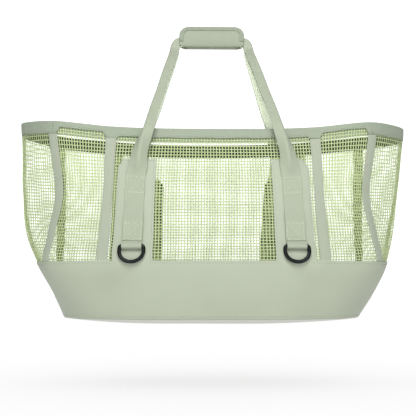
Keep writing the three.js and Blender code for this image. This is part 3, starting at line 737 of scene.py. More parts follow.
STRAND_TREE, given, made = new_tree("strands", {"Half width": 0.001, "Thinness": 0.5})
to_curve = node(STRAND_TREE, "GeometryNodeMeshToCurve")
section = node(STRAND_TREE, "GeometryNodeCurvePrimitiveCircle", Resolution=6)
sweep = node(STRAND_TREE, "GeometryNodeCurveToMesh")
sweep.inputs["Fill Caps"].default_value = True
flatten = node(STRAND_TREE, "GeometryNodeSetPosition")
STRAND_TREE.links.new(given.outputs["Lines"], to_curve.inputs["Mesh"])
STRAND_TREE.links.new(given.outputs["Half width"], section.inputs["Radius"])
STRAND_TREE.links.new(to_curve.outputs[0], sweep.inputs["Curve"])
STRAND_TREE.links.new(section.outputs[0], sweep.inputs["Profile Curve"])
STRAND_TREE.links.new(sweep.outputs[0], flatten.inputs["Geometry"])
out_of_wall = stored_vector(STRAND_TREE, "wall_out")
here = node(STRAND_TREE, "GeometryNodeInputPosition").outputs[0]
from_middle = vector_math(STRAND_TREE, "SUBTRACT", here, stored_vector(STRAND_TREE, "strand_at"))
height = vector_math(STRAND_TREE, "DOT_PRODUCT", from_middle, out_of_wall)
squeeze = math_node(STRAND_TREE, "SUBTRACT", given.outputs["Thinness"], 1.0)
by = math_node(STRAND_TREE, "MULTIPLY", height, squeeze)
shift = vector_math(STRAND_TREE, "SCALE", out_of_wall, by)
STRAND_TREE.links.new(shift, flatten.inputs["Offset"])
end_tree(STRAND_TREE, given, made, flatten.outputs[0])
print("tree:", STRAND_TREE.name, len(STRAND_TREE.nodes), "nodes")

# %% [markdown]
# A helper lays lines on the wall as bare edges and keeps two vectors on every point: where the line
# is and which way is out of the wall. The tree reads them by name.

# %% Lines on the wall
def lines_object(name, lines):
    """Bare polylines. Each is an array of points and one of outward directions, in millimetres."""
    points = np.concatenate([p for p, o in lines]) * MM
    outs = np.concatenate([o for p, o in lines])
    edges, start = [], 0
    for p, o in lines:
        edges += [(start + k, start + k + 1) for k in range(len(p) - 1)]
        start += len(p)
    mesh = bpy.data.meshes.new(name)
    mesh.from_pydata(points.tolist(), edges, [])
    for key, values in (("strand_at", points), ("wall_out", outs)):
        mesh.attributes.new(key, "FLOAT_VECTOR", "POINT").data.foreach_set("vector", values.ravel())
    return new_object(name, mesh)


def run_tree(piece, tree, values):
    """Adds the tree to a piece, sets its inputs by identifier and bakes what it makes."""
    grow = piece.modifiers.new(tree.name, "NODES")
    grow.node_group = tree
    names = {s.name: s.identifier for s in tree.interface.items_tree if s.in_out == "INPUT"}
    for key, value in values.items():
        grow[names[key]] = value
    bake(piece)
    for key in ("strand_at", "wall_out"):
        if key in piece.data.attributes:
            piece.data.attributes.remove(piece.data.attributes[key])
    return piece


def wall_line(at, up, out):
    at, up, out = np.broadcast_arrays(*(np.asarray(a, float) for a in (at, up, out)))
    return wall(at, up, out), directions(at, up)[2]


PANELS = {
    "front": (-CORNER_AT, CORNER_AT), "right": (CORNER_AT, BACK - CORNER_AT),
    "left": (CORNER_AT + BACK, ROUND - CORNER_AT), "back": (BACK - CORNER_AT, BACK + CORNER_AT),
}
NET_PITCH, NET_EDGE = (4.75, 5.05), 1.5
NET_LIFT, STRAND_HALF, STRAND_THIN = 0.22, 0.89, 0.5


def net_panel(name, first, last):
    ats = steps(first + NET_EDGE, last - NET_EDGE, NET_PITCH[0])
    ups = steps(NET_FOOT, RIM_TOP - NET_EDGE, NET_PITCH[1])
    over = NET_LIFT * (-1.0) ** np.add.outer(np.arange(len(ats)), np.arange(len(ups)))
    waver = 0.35 * np.sin(np.add.outer(ats / 41, ups / 29))
    lines = [wall_line(a + waver[i], ups, over[i]) for i, a in enumerate(ats)]
    lines += [wall_line(ats, u + waver[:, j], -over[:, j]) for j, u in enumerate(ups)]
    sizes = {"Half width": STRAND_HALF * MM, "Thinness": STRAND_THIN, "Material": NET_COAT}
    return run_tree(lines_object(name, lines), STRAND_TREE, sizes)


nets = {side: net_panel(f"net_{side}_strands", *ends) for side, ends in PANELS.items()}
print("net:", {side: tris(piece) for side, piece in nets.items()}, "triangles")

# %% [markdown]
# The rim is a tape folded over the net's top edge and sewn through. Its inner leg is one height all
# round; its outer leg is deeper at the strips and the ends, and shallow between them, where the
# inner leg shows through the net. One profile, up the inside, over the top and down the outside, is
# carried round the rim.

# %% Hem
HEM_ROWS = ((0, 13.5), (150, 13.5), (154, 17), (172, 17), (176, 8), (249, 8), (253, 18), (365, 18))
HEM_IN = 20.0


def hem_height(at):
    """How deep the hem's outer leg is, from its table for a quarter of the way round."""
    off = np.abs(at) % BACK
    return np.interp(np.minimum(off, BACK - off), *zip(*HEM_ROWS))


def hem_piece(name, first, last):
    places = steps(first + SEAM, last - SEAM, 3.5)
    leg = np.linspace(0, 1, 7)
    turn = np.radians(np.linspace(0, 180, 9))[1:-1]
    bob = ripple(places, high=0.3, long=5.3) + ripple(places, high=0.5, long=23)
    heights = hem_height(places) + ripple(places, high=0.4, long=9.1)
    rows, maps = [], []
    for at, high, b in zip(places, heights, bob):
        puff = 0.25 * np.sin(leg * np.pi) + 0.12 * b * (1 - leg)
        ups = np.concatenate([RIM_TOP - high * (1 - leg), RIM_TOP + np.sin(turn), RIM_TOP - HEM_IN * leg])
        outs = np.concatenate([SKIN + puff, SKIN * np.cos(turn), -SKIN - 0.25 * np.sin(leg * np.pi)])
        rows.append(wall(np.full(len(ups), at), ups, outs))
        run = np.concatenate([[0], np.cumsum(np.hypot(np.diff(ups), np.diff(outs)))])
        maps.append(np.stack([np.full(len(ups), at), run], axis=-1))
    piece = sheet_object(name, np.array(rows), np.array(maps), HEM_TAPE)
    return paint_inside_shade(thicken(piece, CLOTH))


rims = {side: hem_piece(f"rim_{side}_tape", *ends) for side, ends in PANELS.items()}
print("rim:", {side: tris(piece) for side, piece in rims.items()}, "triangles")

# %% [markdown]
# Webbing strips stiffen the net between the base and the rim: on each long side one beside each
# tongue and one at each corner, over the seam of two net panels, and one more down the middle of
# each end. A strip is slightly crowned across its width. The front corner strips have taken a
# crease where the net folds inwards.

# %% Strips
STRIP_HALF = 9.0
STRIP_ROWS = (  # name, place round the bag, height of the crease
    ("side_strip_front_right", SIDE_AT, 0), ("side_strip_front_left", -SIDE_AT, 0),
    ("side_strip_back_right", BACK - SIDE_AT, 0), ("side_strip_back_left", BACK + SIDE_AT, 0),
    ("corner_strip_front_right", CORNER_AT, 244), ("corner_strip_front_left", -CORNER_AT, 222),
    ("corner_strip_back_right", BACK - CORNER_AT, 0), ("corner_strip_back_left", BACK + CORNER_AT, 0),
    ("end_strip_right", END_AT, 0), ("end_strip_left", -END_AT, 0),
)


def strip_relief(across, up, crease):
    """How far a strip stands out from the wall: its crown, a slow wave and its crease."""
    crown = 0.3 * (1 - (across / STRIP_HALF) ** 2) + ripple(up, high=0.15, long=11)
    slanted = up - crease - 0.25 * across
    return crown + (crease > 0) * (0.55 * bump_at(slanted, 3, 3) - 0.75 * bump_at(slanted, -1.5, 2.2))


def strip_piece(name, middle, crease):
    across = np.linspace(-STRIP_HALF, STRIP_HALF, 9)
    foot = BASE_TOP + GAP
    share = np.linspace(0, 1, 81)
    at = middle + across[:, None] + 0 * share[None, :]
    top = RIM_TOP - hem_height(at) - GAP
    up = foot + (top - foot) * share[None, :]
    points = wall(at, up, SKIN + strip_relief(across[:, None], up, crease))
    piece = thicken(sheet_object(name, points, np.stack([up, at], axis=-1), STRIP_WEB), CLOTH)
    return piece if name.startswith("end") else paint_inside_shade(piece)


strips = {name: strip_piece(name + "_webbing", at, crease) for name, at, crease in STRIP_ROWS}
print("strips:", len(strips), "of", tris(strips["end_strip_left"]), "triangles")

# %% [markdown]
# Each strap is one length of webbing, thirty millimetres wide. Its two ends are sewn flat on the
# tongues of one side, and between them it rises to the grip. Above the rim it folds in half along
# its middle, so it looks half as wide. The table gives the spine of one leg and how far each half
# of the webbing has turned back about the spine. The section is walked out from the spine to both
# edges, and smooth curves through the rows make the ribbon. The back strap is the same but spreads
# wider on its way up, by the table's last column, so the front one hides most of it. The other
# lamps leave the back strap darker than in the photograph, so a small lamp lights it and nothing
# else.

# %% Straps
STRAP_AT, STRAP_HALF, FOLD_HALF = TONGUE_AT, 15.0, 3.0
SEWN_ROWS = (  # height up the wall, distance out of it
    (119.8, STRAP_ON_TAB + 2.5), (122.5, STRAP_ON_TAB + 0.8), (127, STRAP_ON_TAB + 0.1), (152, STRAP_ON_TAB),
    (170, STRAP_ON_SKIN), (202, STRAP_ON_SKIN), (226, STRAP_ON_SKIN + 0.1),
)
FREE_ROWS = (  # x, y and z of the spine, turn of the inner and the outer half, spread of the back strap
    (116.5, -117.5, -206.5, 24, 26, 1), (115, -119.5, -191, 36, 44, 4), (111.5, -119, -169, 28, 66, 9),
    (106, -113.5, -146, 8, 96, 12), (99.5, -96, -118.5, 2, 150, 12), (90, -73.5, -86, 0, 172, 8.5),
    (80, -47, -48, 0, 178, 4.5), (72, -25, -20, 0, 180, 1.5), (68.6, -10.5, -6, 0, 180, 0),
    (67.4, -4.6, 1.5, 0, 180, 0), (65, -3.9, 8.5, 0, 180, 0), (60.2, -3.6, 14.6, 0, 180, 0),
    (53.2, -3.5, 17.6, 0, 180, 0), (46, -3.4, 19.1, 0, 180, 0), (38, -3.4, 19.4, 0, 180, 0),
    (22, -3.4, 19.4, 0, 180, 0), (0, -3.4, 19.4, 0, 180, 0),
)
STRAP_WIDTHS = np.array([-15, -13.5, -10, -6, -3, -2, -1, 0, 1, 2, 3, 6, 10, 13.5, 15])
FOLD_STEPS, STRAP_STEP = 120, 3.0


def fold_section(widths, inner, outer):
    """Offsets inward and out from the spine for each width, as each half turns back by its angle."""
    fine = np.linspace(-STRAP_HALF, STRAP_HALF, 2 * FOLD_STEPS + 1)
    share = np.clip(fine / FOLD_HALF, -1, 1)
    heading = np.radians((outer - inner) / 2 - share * (outer + inner) / 2)
    walk = np.cumsum(np.stack([np.cos(heading), np.sin(heading)]), axis=1) * (fine[1] - fine[0])
    walk -= walk[:, FOLD_STEPS:FOLD_STEPS + 1]
    return np.interp(widths, fine, walk[0]), np.interp(widths, fine, walk[1])


def strap_leg(spreads):
    """A right leg in close steps: spine, outward and inward directions, fold angles and distance."""
    sewn = [wall(STRAP_AT, up, out) for up, out in SEWN_ROWS]
    sewn_out = [directions(STRAP_AT, up)[2] for up, out in SEWN_ROWS]
    free = [(x + spreads * spread, y, z) for x, y, z, inner, outer, spread in FREE_ROWS]
    spine = np.array(sewn + free)
    past_middle = spine[-2] * (-1, 1, 1)
    run = unit(np.vstack([spine[1:], past_middle]) - np.vstack([spine[:1], spine[:-1]]))
    free_out = unit(np.array([0, -1.0, 0]) + run * run[:, 1:2])
    out = np.vstack([sewn_out, free_out[len(sewn):]])
    folds = np.array([(0, 0)] * len(sewn) + [r[3:5] for r in FREE_ROWS], float)
    far = lengths_along(spine)
    at = steps(0, far[-1], STRAP_STEP)
    spine = through(far, spine, at)
    run = unit(np.gradient(spine, axis=0))
    out = through(far, out, at)
    out = unit(out - run * np.sum(out * run, axis=1, keepdims=True))
    return spine, out, np.cross(out, run), np.clip(through(far, folds, at), 0, 180), at


def strap_piece(name, spreads):
    spine, outs, inwards, folds, far = strap_leg(spreads)
    rows = []
    for point, out, inward, (inner, outer) in zip(spine, outs, inwards, folds):
        in_by, out_by = fold_section(STRAP_WIDTHS, inner, outer)
        rows.append(point + in_by[:, None] * inward + out_by[:, None] * out)
    leg = np.array(rows)
    ribbon = np.concatenate([leg, leg[-2::-1] * (-1, 1, 1)])
    length = np.concatenate([far, 2 * far[-1] - far[-2::-1]])
    cloth_map = np.stack(np.broadcast_arrays(length[:, None], STRAP_WIDTHS[None, :]), axis=-1)
    return thicken(sheet_object(name, ribbon, cloth_map, STRAP_WEB), WEBBING, soft=0.5), length[-1]


strap_front, strap_length = strap_piece("strap_front_webbing", 0)
wider, wider_length = strap_piece("wider_strap", 1)
strap_back = flipped_to_back(wider, "strap_back_webbing")
bpy.data.objects.remove(wider)
far_strap = bpy.data.collections.new("only the far strap")
far_strap.objects.link(strap_back)
reflector = area_light("reflector", place=(-0.05, -1.9, -0.42), aim=(0, 0, -0.1), size=(0.4, 0.4), watts=100)
reflector.light_linking.receiver_collection = far_strap
print("straps:", round(strap_length), round(wider_length), "mm long,", tris(strap_front), "triangles")

# %% [markdown]
# A short tab of thinner webbing hangs from under each sewn strap end, goes round the flat bar of a
# D-ring and back up. It is a ribbon along a line drawn from the side, with an arc round the bar.

# %% Ring tabs
RING_UP, BAR_FOLD = 112.0, 4.05
RING_OUT = TAB_BACK + BAR_FOLD
TAB_HALF, TAB_TOP = 14.5, 149.5


def tab_line():
    """Heights and distances out along a tab: down its back, round the bar and up its front."""
    turn = np.radians(np.arange(0, 209, 13))
    round_bar = np.stack([RING_UP - BAR_FOLD * np.sin(turn), RING_OUT - BAR_FOLD * np.cos(turn)], axis=1)
    down = [(TAB_TOP, TAB_BACK), (RING_UP + 26, TAB_BACK), (RING_UP + 16, TAB_BACK), (RING_UP + 6, TAB_BACK)]
    back_up = [(RING_UP + 10.5, TAB_FRONT + 0.5), (RING_UP + 15, TAB_FRONT), (RING_UP + 26, TAB_FRONT),
               (TAB_TOP, TAB_FRONT)]
    return np.concatenate([down, round_bar, back_up])


def tab_piece(name, at):
    line = tab_line()
    across = np.linspace(-TAB_HALF, TAB_HALF, 9)
    points = np.array([wall(at + across, np.full(9, up), np.full(9, out)) for up, out in line])
    cloth_map = np.stack(np.broadcast_arrays(lengths_along(line)[:, None], across[None, :]), axis=-1)
    return thicken(sheet_object(name, points, cloth_map, STRAP_WEB), CLOTH)


tabs = {}
for side, sign in (("right", 1), ("left", -1)):
    front_tab = tab_piece(f"ring_tab_front_{side}_webbing", sign * STRAP_AT)
    tabs[f"ring_tab_front_{side}"] = front_tab
    tabs[f"ring_tab_back_{side}"] = flipped_to_back(front_tab, f"ring_tab_back_{side}_webbing")
print("tabs:", len(tabs))

# %% [markdown]
# The D-rings are bent from round wire: a straight bar in the tab, two short straight sides and a
# bow. The wire is a closed sweep along that line, round enough to carry clean highlights, and it
# swings on its bar.

# %% D-rings
RING_WIRE, RING_WIDE, RING_DROP, RING_SIDE, RING_BEND, RING_TILT = 5.7, 36.9, 24.4, 8.0, 4.0, 8.0
WIRE_SIDES = 16


def ring_line():
    """The middle of the wire, with the bar along x and the bow hanging below it."""
    half = RING_WIDE / 2
    bow = np.radians(np.linspace(0, 180, 37))
    drop = -RING_SIDE - (RING_DROP - RING_SIDE) * np.sin(bow)
    bow = np.stack([half * np.cos(bow), 0 * bow, drop], axis=1)
    bend = np.radians(np.linspace(0, 90, 8))
    corner = np.stack([half - RING_BEND + RING_BEND * np.sin(bend), 0 * bend,
                       -RING_BEND + RING_BEND * np.cos(bend)], axis=1)
    bar_x = np.linspace(-half + RING_BEND, half - RING_BEND, 7)[1:-1]
    bar = np.stack([bar_x, 0 * bar_x, 0 * bar_x], axis=1)
    return np.concatenate([bar, corner, bow, (corner * (-1, 1, 1))[::-1]])


def ring_piece(name, at):
    line = ring_line()
    run = unit(np.roll(line, -1, axis=0) - np.roll(line, 1, axis=0))
    outward = unit(np.cross((0, 1, 0), run))
    spin = 2 * np.pi * np.arange(WIRE_SIDES) / WIRE_SIDES
    tube = (line[:, None, :] + RING_WIRE / 2 * (np.cos(spin)[None, :, None] * outward[:, None, :]
            + np.sin(spin)[None, :, None] * np.array([0, 1, 0])))
    tilt = np.radians(RING_TILT)
    y = tube[..., 1] * np.cos(tilt) - tube[..., 2] * np.sin(tilt)
    z = tube[..., 1] * np.sin(tilt) + tube[..., 2] * np.cos(tilt)
    along, rise, out = directions(at, RING_UP)
    bar_at = wall(at, RING_UP, RING_OUT)
    placed = bar_at + tube[..., :1] * along - y[..., None] * out + z[..., None] * rise
    number = np.arange(len(line) * WIRE_SIDES).reshape(len(line), WIRE_SIDES)
    ahead, beside = np.roll(number, -1, axis=0), np.roll(number, -1, axis=1)
    quads = np.stack([number, beside, np.roll(ahead, -1, axis=1), ahead], axis=-1).reshape(-1, 4).tolist()
    mesh = bpy.data.meshes.new(name)
    mesh.from_pydata((placed.reshape(-1, 3) * MM).tolist(), [], quads)
    mesh.materials.append(RING_PAINT)
    mesh.shade_smooth()
    return new_object(name, mesh)


rings = {}
for side, sign in (("right", 1), ("left", -1)):
    front_ring = ring_piece(f"d_ring_front_{side}_wire", sign * STRAP_AT)
    rings[f"d_ring_front_{side}"] = front_ring
    rings[f"d_ring_back_{side}"] = flipped_to_back(front_ring, f"d_ring_back_{side}_wire")
print("rings:", len(rings), "of", tris(rings["d_ring_front_left"]), "triangles")

# %% [markdown]
# The grip is a pad of the coated cloth, folded up round both straps like a taco and closed along
# its top. It starts as a thin shell with its real outline: round top corners, square lower ones,
# and a floor that stops short of both ends so that the straps can leave. A short cloth simulation
# then blows the outer face up against its bound edges, as the foam does. The inner face and the
# edges are pinned, and no point may move further than the foam could push it.

# %% Grip pad
GRIP_HALF, GRIP_TALL, GRIP_CORNER, GRIP_FLOOR = 52.5, 35.5, 15.0, 41.0
PAD_THICK, PAD_PUFF, PAD_RISE = 2.6, 3.0, 1.5
GRIP_ROWS, GRIP_LINES, CROWDED = 45, 61, 0.96
GRIP_FRONT = (  # y and z down the front of the fold, seen from the end
    (-2.7, 35.5), (-5.4, 29.2), (-7.9, 22), (-8.5, 16), (-8.5, 10), (-8.4, 6),
    (-8.1, 3.6), (-7.2, 2.1), (-5, 1.55),
)
GRIP_LINE = np.array(GRIP_FRONT + ((0, 1.5),) + tuple((-y, z) for y, z in GRIP_FRONT[::-1]))


def grip_half(y, z):
    """Half the pad's length at a place of its section, from its outline."""
    floor = np.interp(np.abs(y), (7.0, 8.0), (GRIP_FLOOR, GRIP_HALF))
    foot = np.where(z < GRIP_TALL / 4, floor, GRIP_HALF)
    rise = np.clip(z - (GRIP_TALL - GRIP_CORNER), 0, GRIP_CORNER)
    return np.minimum(foot, GRIP_HALF - GRIP_CORNER + np.sqrt(GRIP_CORNER**2 - rise**2))


def grip_section(count):
    """Points and outward directions of the fold, seen from the end, from the front lip to the back lip."""
    far = lengths_along(GRIP_LINE)
    at = np.linspace(0, far[-1], count)
    line = through(far, GRIP_LINE, at)
    run = unit(np.gradient(line, axis=0))
    return line, np.stack([run[:, 1], -run[:, 0]], axis=1), at


def closed_shell(name, outer, inner, cloth_map, material):
    """Two grids of points joined round their edges into one closed skin."""
    number, quads = grid_quads(outer)
    quads = quads.reshape(-1, 4)
    rim = np.concatenate([number[0, :], number[1:, -1], number[-1, -2::-1], number[-2:0:-1, 0]])
    lower = quads[:, ::-1] + number.size
    ahead = np.roll(rim, -1)
    sides = np.stack([rim, ahead, ahead + number.size, rim + number.size], axis=1)
    mesh = bpy.data.meshes.new(name)
    points = np.concatenate([outer.reshape(-1, 3), inner.reshape(-1, 3)]) * MM
    faces = np.concatenate([quads, lower, sides])
    mesh.from_pydata(points.tolist(), [], faces.tolist())
    flat = np.concatenate([cloth_map.reshape(-1, 2)] * 2) * MM
    mesh.uv_layers.new(name="cloth").data.foreach_set("uv", flat[faces.ravel()].ravel())
    mesh.materials.append(material)
    return new_object(name, mesh)


grip_line, grip_out, grip_far = grip_section(GRIP_ROWS)
lengthways = np.sin(np.linspace(-0.5, 0.5, GRIP_LINES) * np.pi * CROWDED) / math.sin(CROWDED / 2 * np.pi)
grip_x = grip_half(*grip_line.T)[:, None] * lengthways[None, :]


def grip_face(by):
    """The pad's inner or outer face, at a distance from the middle of its cloth."""
    yz = grip_line + grip_out * by
    return np.stack(np.broadcast_arrays(grip_x, yz[:, :1], yz[:, 1:]), axis=-1)


grip_map = np.stack([grip_x, np.broadcast_to(grip_far[:, None], grip_x.shape)], axis=-1)
grip = closed_shell("grip_wrap_pad", grip_face(PAD_THICK / 2), grip_face(-PAD_THICK / 2), grip_map,
                    GRIP_CLOTH)
print("grip:", len(grip.data.vertices), "points before it is blown up")

# %% [markdown]
# Blender's Cloth needs frames to be stepped in order. Pressure pushes the free face out, gravity is
# off, and the result is read back from the evaluated object, so that no modifier stays on the pad.
# One subdivision smooths it.

# %% Blow up the pad
PUFF_FRAMES = 20
SEWN_ROWS_EACH_SIDE, SEWN_ENDS, SEWN_BELOW = 4, 6.5, 3.0


def blow_up(piece, pinned, pressure, most_mm):
    """Lets pressure push the free points out, no further than most_mm, and says how far they went."""
    before = points_of(piece.data)
    sewn = piece.vertex_groups.new(name="sewn")
    sewn.add([int(i) for i in pinned], 1.0, "REPLACE")
    cloth = piece.modifiers.new("padding", "CLOTH")
    cloth.settings.vertex_group_mass = "sewn"
    cloth.settings.use_pressure = True
    cloth.settings.uniform_pressure_force = pressure
    cloth.settings.effector_weights.gravity = 0
    cloth.settings.tension_stiffness = 12
    cloth.settings.compression_stiffness = 12
    cloth.settings.bending_stiffness = 0.4
    for step in range(1, PUFF_FRAMES + 1):
        bpy.context.scene.frame_set(step)
    graph = bpy.context.evaluated_depsgraph_get()
    moved = points_of(piece.evaluated_get(graph).data) - before
    piece.modifiers.clear()
    piece.vertex_groups.clear()
    bpy.context.scene.frame_set(1)
    far = np.linalg.norm(moved, axis=1, keepdims=True)
    moved *= np.minimum(1, most_mm * MM / np.maximum(far, 1e-9))
    piece.data.vertices.foreach_set("co", (before + moved).ravel())
    piece.data.update()
    return far.max() / MM


def subdivide(piece):
    finer = piece.modifiers.new("smooth", "SUBSURF")
    finer.levels = finer.render_levels = 1
    bake(piece)
    piece.data.shade_smooth()


numbers = np.arange(grip_x.size).reshape(grip_x.shape)
row = np.arange(GRIP_ROWS)[:, None]
near_lips = np.minimum(row, GRIP_ROWS - 1 - row) < SEWN_ROWS_EACH_SIDE
near_ends = np.abs(grip_x) > np.abs(grip_x[:, -1:]) - SEWN_ENDS
held = near_lips | near_ends | (grip_line[:, 1:] < SEWN_BELOW)
pinned = np.concatenate([numbers[held], numbers.ravel() + grip_x.size])
print("pad pushed", round(blow_up(grip, pinned, PAD_PUFF, PAD_RISE), 2), "mm before the cap")
subdivide(grip)
print("grip:", tris(grip), "triangles")

# %% [markdown]
# A darker tape binds the two flaps of the pad along their sides and top. It is folded over the
# edge, so its section is a flat strip on the face, a tight turn and a short strip behind. That
# section follows the outline of the flap.

# %% Grip binding
BINDING_FOOT, BINDING_TAPE, BINDING_FACE = 11.0, 0.8, 0.95
BINDING_SECTION = (  # distance in from the outline, height above the face
    (6.0, 0.85), (4.5, BINDING_FACE), (3.0, 1.0), (1.5, BINDING_FACE), (0.4, 0.75), (-0.4, 0.2), (-0.7, -0.7),
    (-0.6, -1.7), (0.0, -2.5),
)
front_flap = (grip_line + grip_out * PAD_THICK / 2)[:(GRIP_ROWS + 1) // 2]
pad_y, pad_z = front_flap[::-1].T


def outline_path(inset):
    """The flap's outline at an inset: up one side, round both top corners and down the other side."""
    half, top, r = GRIP_HALF - inset, GRIP_TALL - inset, GRIP_CORNER - inset
    turn = np.radians(np.linspace(0, 90, 13))
    side = np.stack([np.full(4, half), np.linspace(BINDING_FOOT, top - r, 5)[:-1]], axis=1)
    corner = np.stack([half - r + r * np.cos(turn), top - r + r * np.sin(turn)], axis=1)
    along_top = np.stack([np.linspace(half - r, 0, 11)[1:], np.full(10, top)], axis=1)
    right = np.concatenate([side, corner, along_top])
    return np.concatenate([right, (right * (-1, 1))[-2::-1]])


def flap_point(path, by):
    """Points on the front flap at a height above its face."""
    y = np.interp(path[:, 1], pad_z, pad_y) - by
    return np.stack([path[:, 0], y, path[:, 1]], axis=1)


binding_points = np.stack([flap_point(outline_path(inset), by) for inset, by in BINDING_SECTION], axis=1)
path_far, section_far = lengths_along(outline_path(0)), lengths_along(BINDING_SECTION)
binding_map = np.stack(np.broadcast_arrays(path_far[:, None], section_far[None, :]), axis=-1)
binding_front = sheet_object("grip_binding_front_tape", binding_points[:, ::-1], binding_map[:, ::-1],
                             EDGE_TAPE)
thicken(binding_front, BINDING_TAPE, soft=0.25)
binding_back = flipped_to_back(binding_front, "grip_binding_back_tape")
print("binding:", round(path_far[-1]), "mm long")

# %% [markdown]
# Seams are what makes sewn cloth believable. Each stitch is a short bead of thread. A second tree
# walks along the seam lines at the stitch length and sets a bead on each step, turned along the
# seam and lying flat on the cloth. The seeded random size keeps the row from looking stamped.

# %% A tree that sews
SMALLEST_STITCH, LARGEST_STITCH, STITCH_SEED = 0.88, 1.1, 7
SEW_TREE, given, made = new_tree("stitches", {"Pitch": 0.0036, "Length": 0.0028, "Radius": 0.0003})
to_curve = node(SEW_TREE, "GeometryNodeMeshToCurve")
walk = node(SEW_TREE, "GeometryNodeResampleCurve", mode="LENGTH")
bead = node(SEW_TREE, "GeometryNodeMeshUVSphere", Segments=6, Rings=4, Radius=1.0)
sized = node(SEW_TREE, "GeometryNodeTransform")
bead_size = node(SEW_TREE, "ShaderNodeCombineXYZ")
turned = node(SEW_TREE, "FunctionNodeAxesToRotation", primary_axis="X", secondary_axis="Z")
vary = node(SEW_TREE, "FunctionNodeRandomValue", data_type="FLOAT")
vary.inputs[2].default_value, vary.inputs[3].default_value = SMALLEST_STITCH, LARGEST_STITCH
vary.inputs["Seed"].default_value = STITCH_SEED
place = node(SEW_TREE, "GeometryNodeInstanceOnPoints")
link = SEW_TREE.links.new
link(given.outputs["Lines"], to_curve.inputs["Mesh"])
link(to_curve.outputs[0], walk.inputs["Curve"])
link(given.outputs["Pitch"], walk.inputs["Length"])
link(math_node(SEW_TREE, "MULTIPLY", given.outputs["Length"], 0.5), bead_size.inputs[0])
link(given.outputs["Radius"], bead_size.inputs[1])
link(given.outputs["Radius"], bead_size.inputs[2])
link(bead.outputs["Mesh"], sized.inputs["Geometry"])
link(bead_size.outputs[0], sized.inputs["Scale"])
link(node(SEW_TREE, "GeometryNodeInputTangent").outputs[0], turned.inputs[0])
link(stored_vector(SEW_TREE, "wall_out"), turned.inputs[1])
link(walk.outputs[0], place.inputs["Points"])
link(sized.outputs[0], place.inputs["Instance"])
link(turned.outputs[0], place.inputs["Rotation"])
link(vary.outputs[1], place.inputs["Scale"])
end_tree(SEW_TREE, given, made, place.outputs[0])


def sew(name, lines, pitch=3.6, length=2.7, radius=0.32, thread=THREAD):
    sizes = {"Pitch": pitch * MM, "Length": length * MM, "Radius": radius * MM, "Material": thread}
    return run_tree(lines_object(name, lines), SEW_TREE, sizes)


def front_and_back(lines):
    """The lines and their mirror images on the back of the bag."""
    return lines + [(p * (1, -1, 1), o * (1, -1, 1)) for p, o in lines]


print("tree:", SEW_TREE.name, len(SEW_TREE.nodes), "nodes")

# %% [markdown]
# The base is sewn to the net along its top edge, the tongues along their sides and top, and the
# wall to the bottom panel just above the foot. Lines are drawn in the wall's own two directions and
# lifted onto the cloth's face.

# %% Seams of the base
ON_FACE, SEAM_STEP = 0.12, 2.0
FOOT_SEAM_UP, SEAM_END, PAST_TONGUE = 4.5, 363, 150


def in_steps(corners):
    """A line through flat corners in close steps, as its two coordinates."""
    corners = np.asarray(corners, float)
    far = lengths_along(corners)
    at_far = steps(0, far[-1], SEAM_STEP, far)
    return [np.interp(at_far, far, corners[:, k]) for k in (0, 1)]


def base_seam(start, corners):
    """A line through corners given as places round and up, on the face of one half of the base."""
    at, up = in_steps(corners)
    return wall_line(start + at, up, SKIN_OUT + base_relief(at, up) + ON_FACE)


FRONT_TONGUE = ((91, 88), (91, 249), (137.5, 249), (145, 238), (145, 88))
BACK_RIGHT = ((-145, 88), (-145, 239), (-104.5, 239), (-96, 228), (-87, 91))
BACK_LEFT = ((82, 88), (82, 228), (89.5, 239), (145, 239), (145, 88))
base_lines = [base_seam(0, [(sign * at, up) for at, up in FRONT_TONGUE]) for sign in (-1, 1)]
base_lines += [base_seam(BACK, line) for line in (BACK_RIGHT, BACK_LEFT)]
for start, inner in ((0, 87), (BACK, 78)):
    runs = ((-SEAM_END, -PAST_TONGUE), (-inner, inner), (PAST_TONGUE, SEAM_END))
    base_lines += [base_seam(start, ((a, BASE_SEAM_UP), (b, BASE_SEAM_UP))) for a, b in runs]
    base_lines.append(base_seam(start, ((-SEAM_END, FOOT_SEAM_UP), (SEAM_END, FOOT_SEAM_UP))))
base_stitches = sew("base_stitches", base_lines)
print("base stitches:", tris(base_stitches), "triangles")

# %% [markdown]
# Each strap end is held by two boxes of stitching, the strongest way to sew webbing down. The bars
# across the strap are sewn twice and stand out pale; the sides and the cross between them are
# finer. The hem has one row near its lower edge, each strip a row near both edges, and the binding
# one row too.

# %% Seams of the webbing, hem and grip
BOXES = ((-322.8, -296.2), (-249.9, -224.8))
BOX_HALF, BAR_ROWS_APART = 12.5, 1.3
HEM_SEAM_UP, HEM_PUFF, STRIP_SEAM_AT, BINDING_SEAM_IN = 2.4, 0.16, 7.0, 4.9
LEG_SPINE, LEG_OUT, LEG_IN = strap_leg(0)[:3]


def on_strap(corners, sign):
    """A line through corners given as a place across the sewn strap and a height."""
    w, z = in_steps(corners)
    spine, out, inward = (np.stack([np.interp(z, LEG_SPINE[:, 2], a[:, k]) for k in range(3)], axis=1)
                          for a in (LEG_SPINE, LEG_OUT, LEG_IN))
    points = spine + w[:, None] * inward + (WEBBING / 2 + ON_FACE) * out
    return points * (sign, 1, 1), out * (sign, 1, 1)


bars, crosses = [], []
for sign in (1, -1):
    for low, high in BOXES:
        h = BOX_HALF
        heights = (low, low + BAR_ROWS_APART, high, high - BAR_ROWS_APART)
        bars += [on_strap([(-h, z), (h, z)], sign) for z in heights]
        crosses.append(on_strap([(h, low), (h, high), (-h, low), (-h, high), (h, low)], sign))
strap_bars = sew("strap_bars", front_and_back(bars), pitch=2.6, length=2.5, radius=0.5, thread=PALE_THREAD)
strap_crosses = sew("strap_crosses", front_and_back(crosses), pitch=3.0, length=2.4, radius=0.27,
                    thread=PALE_THREAD)

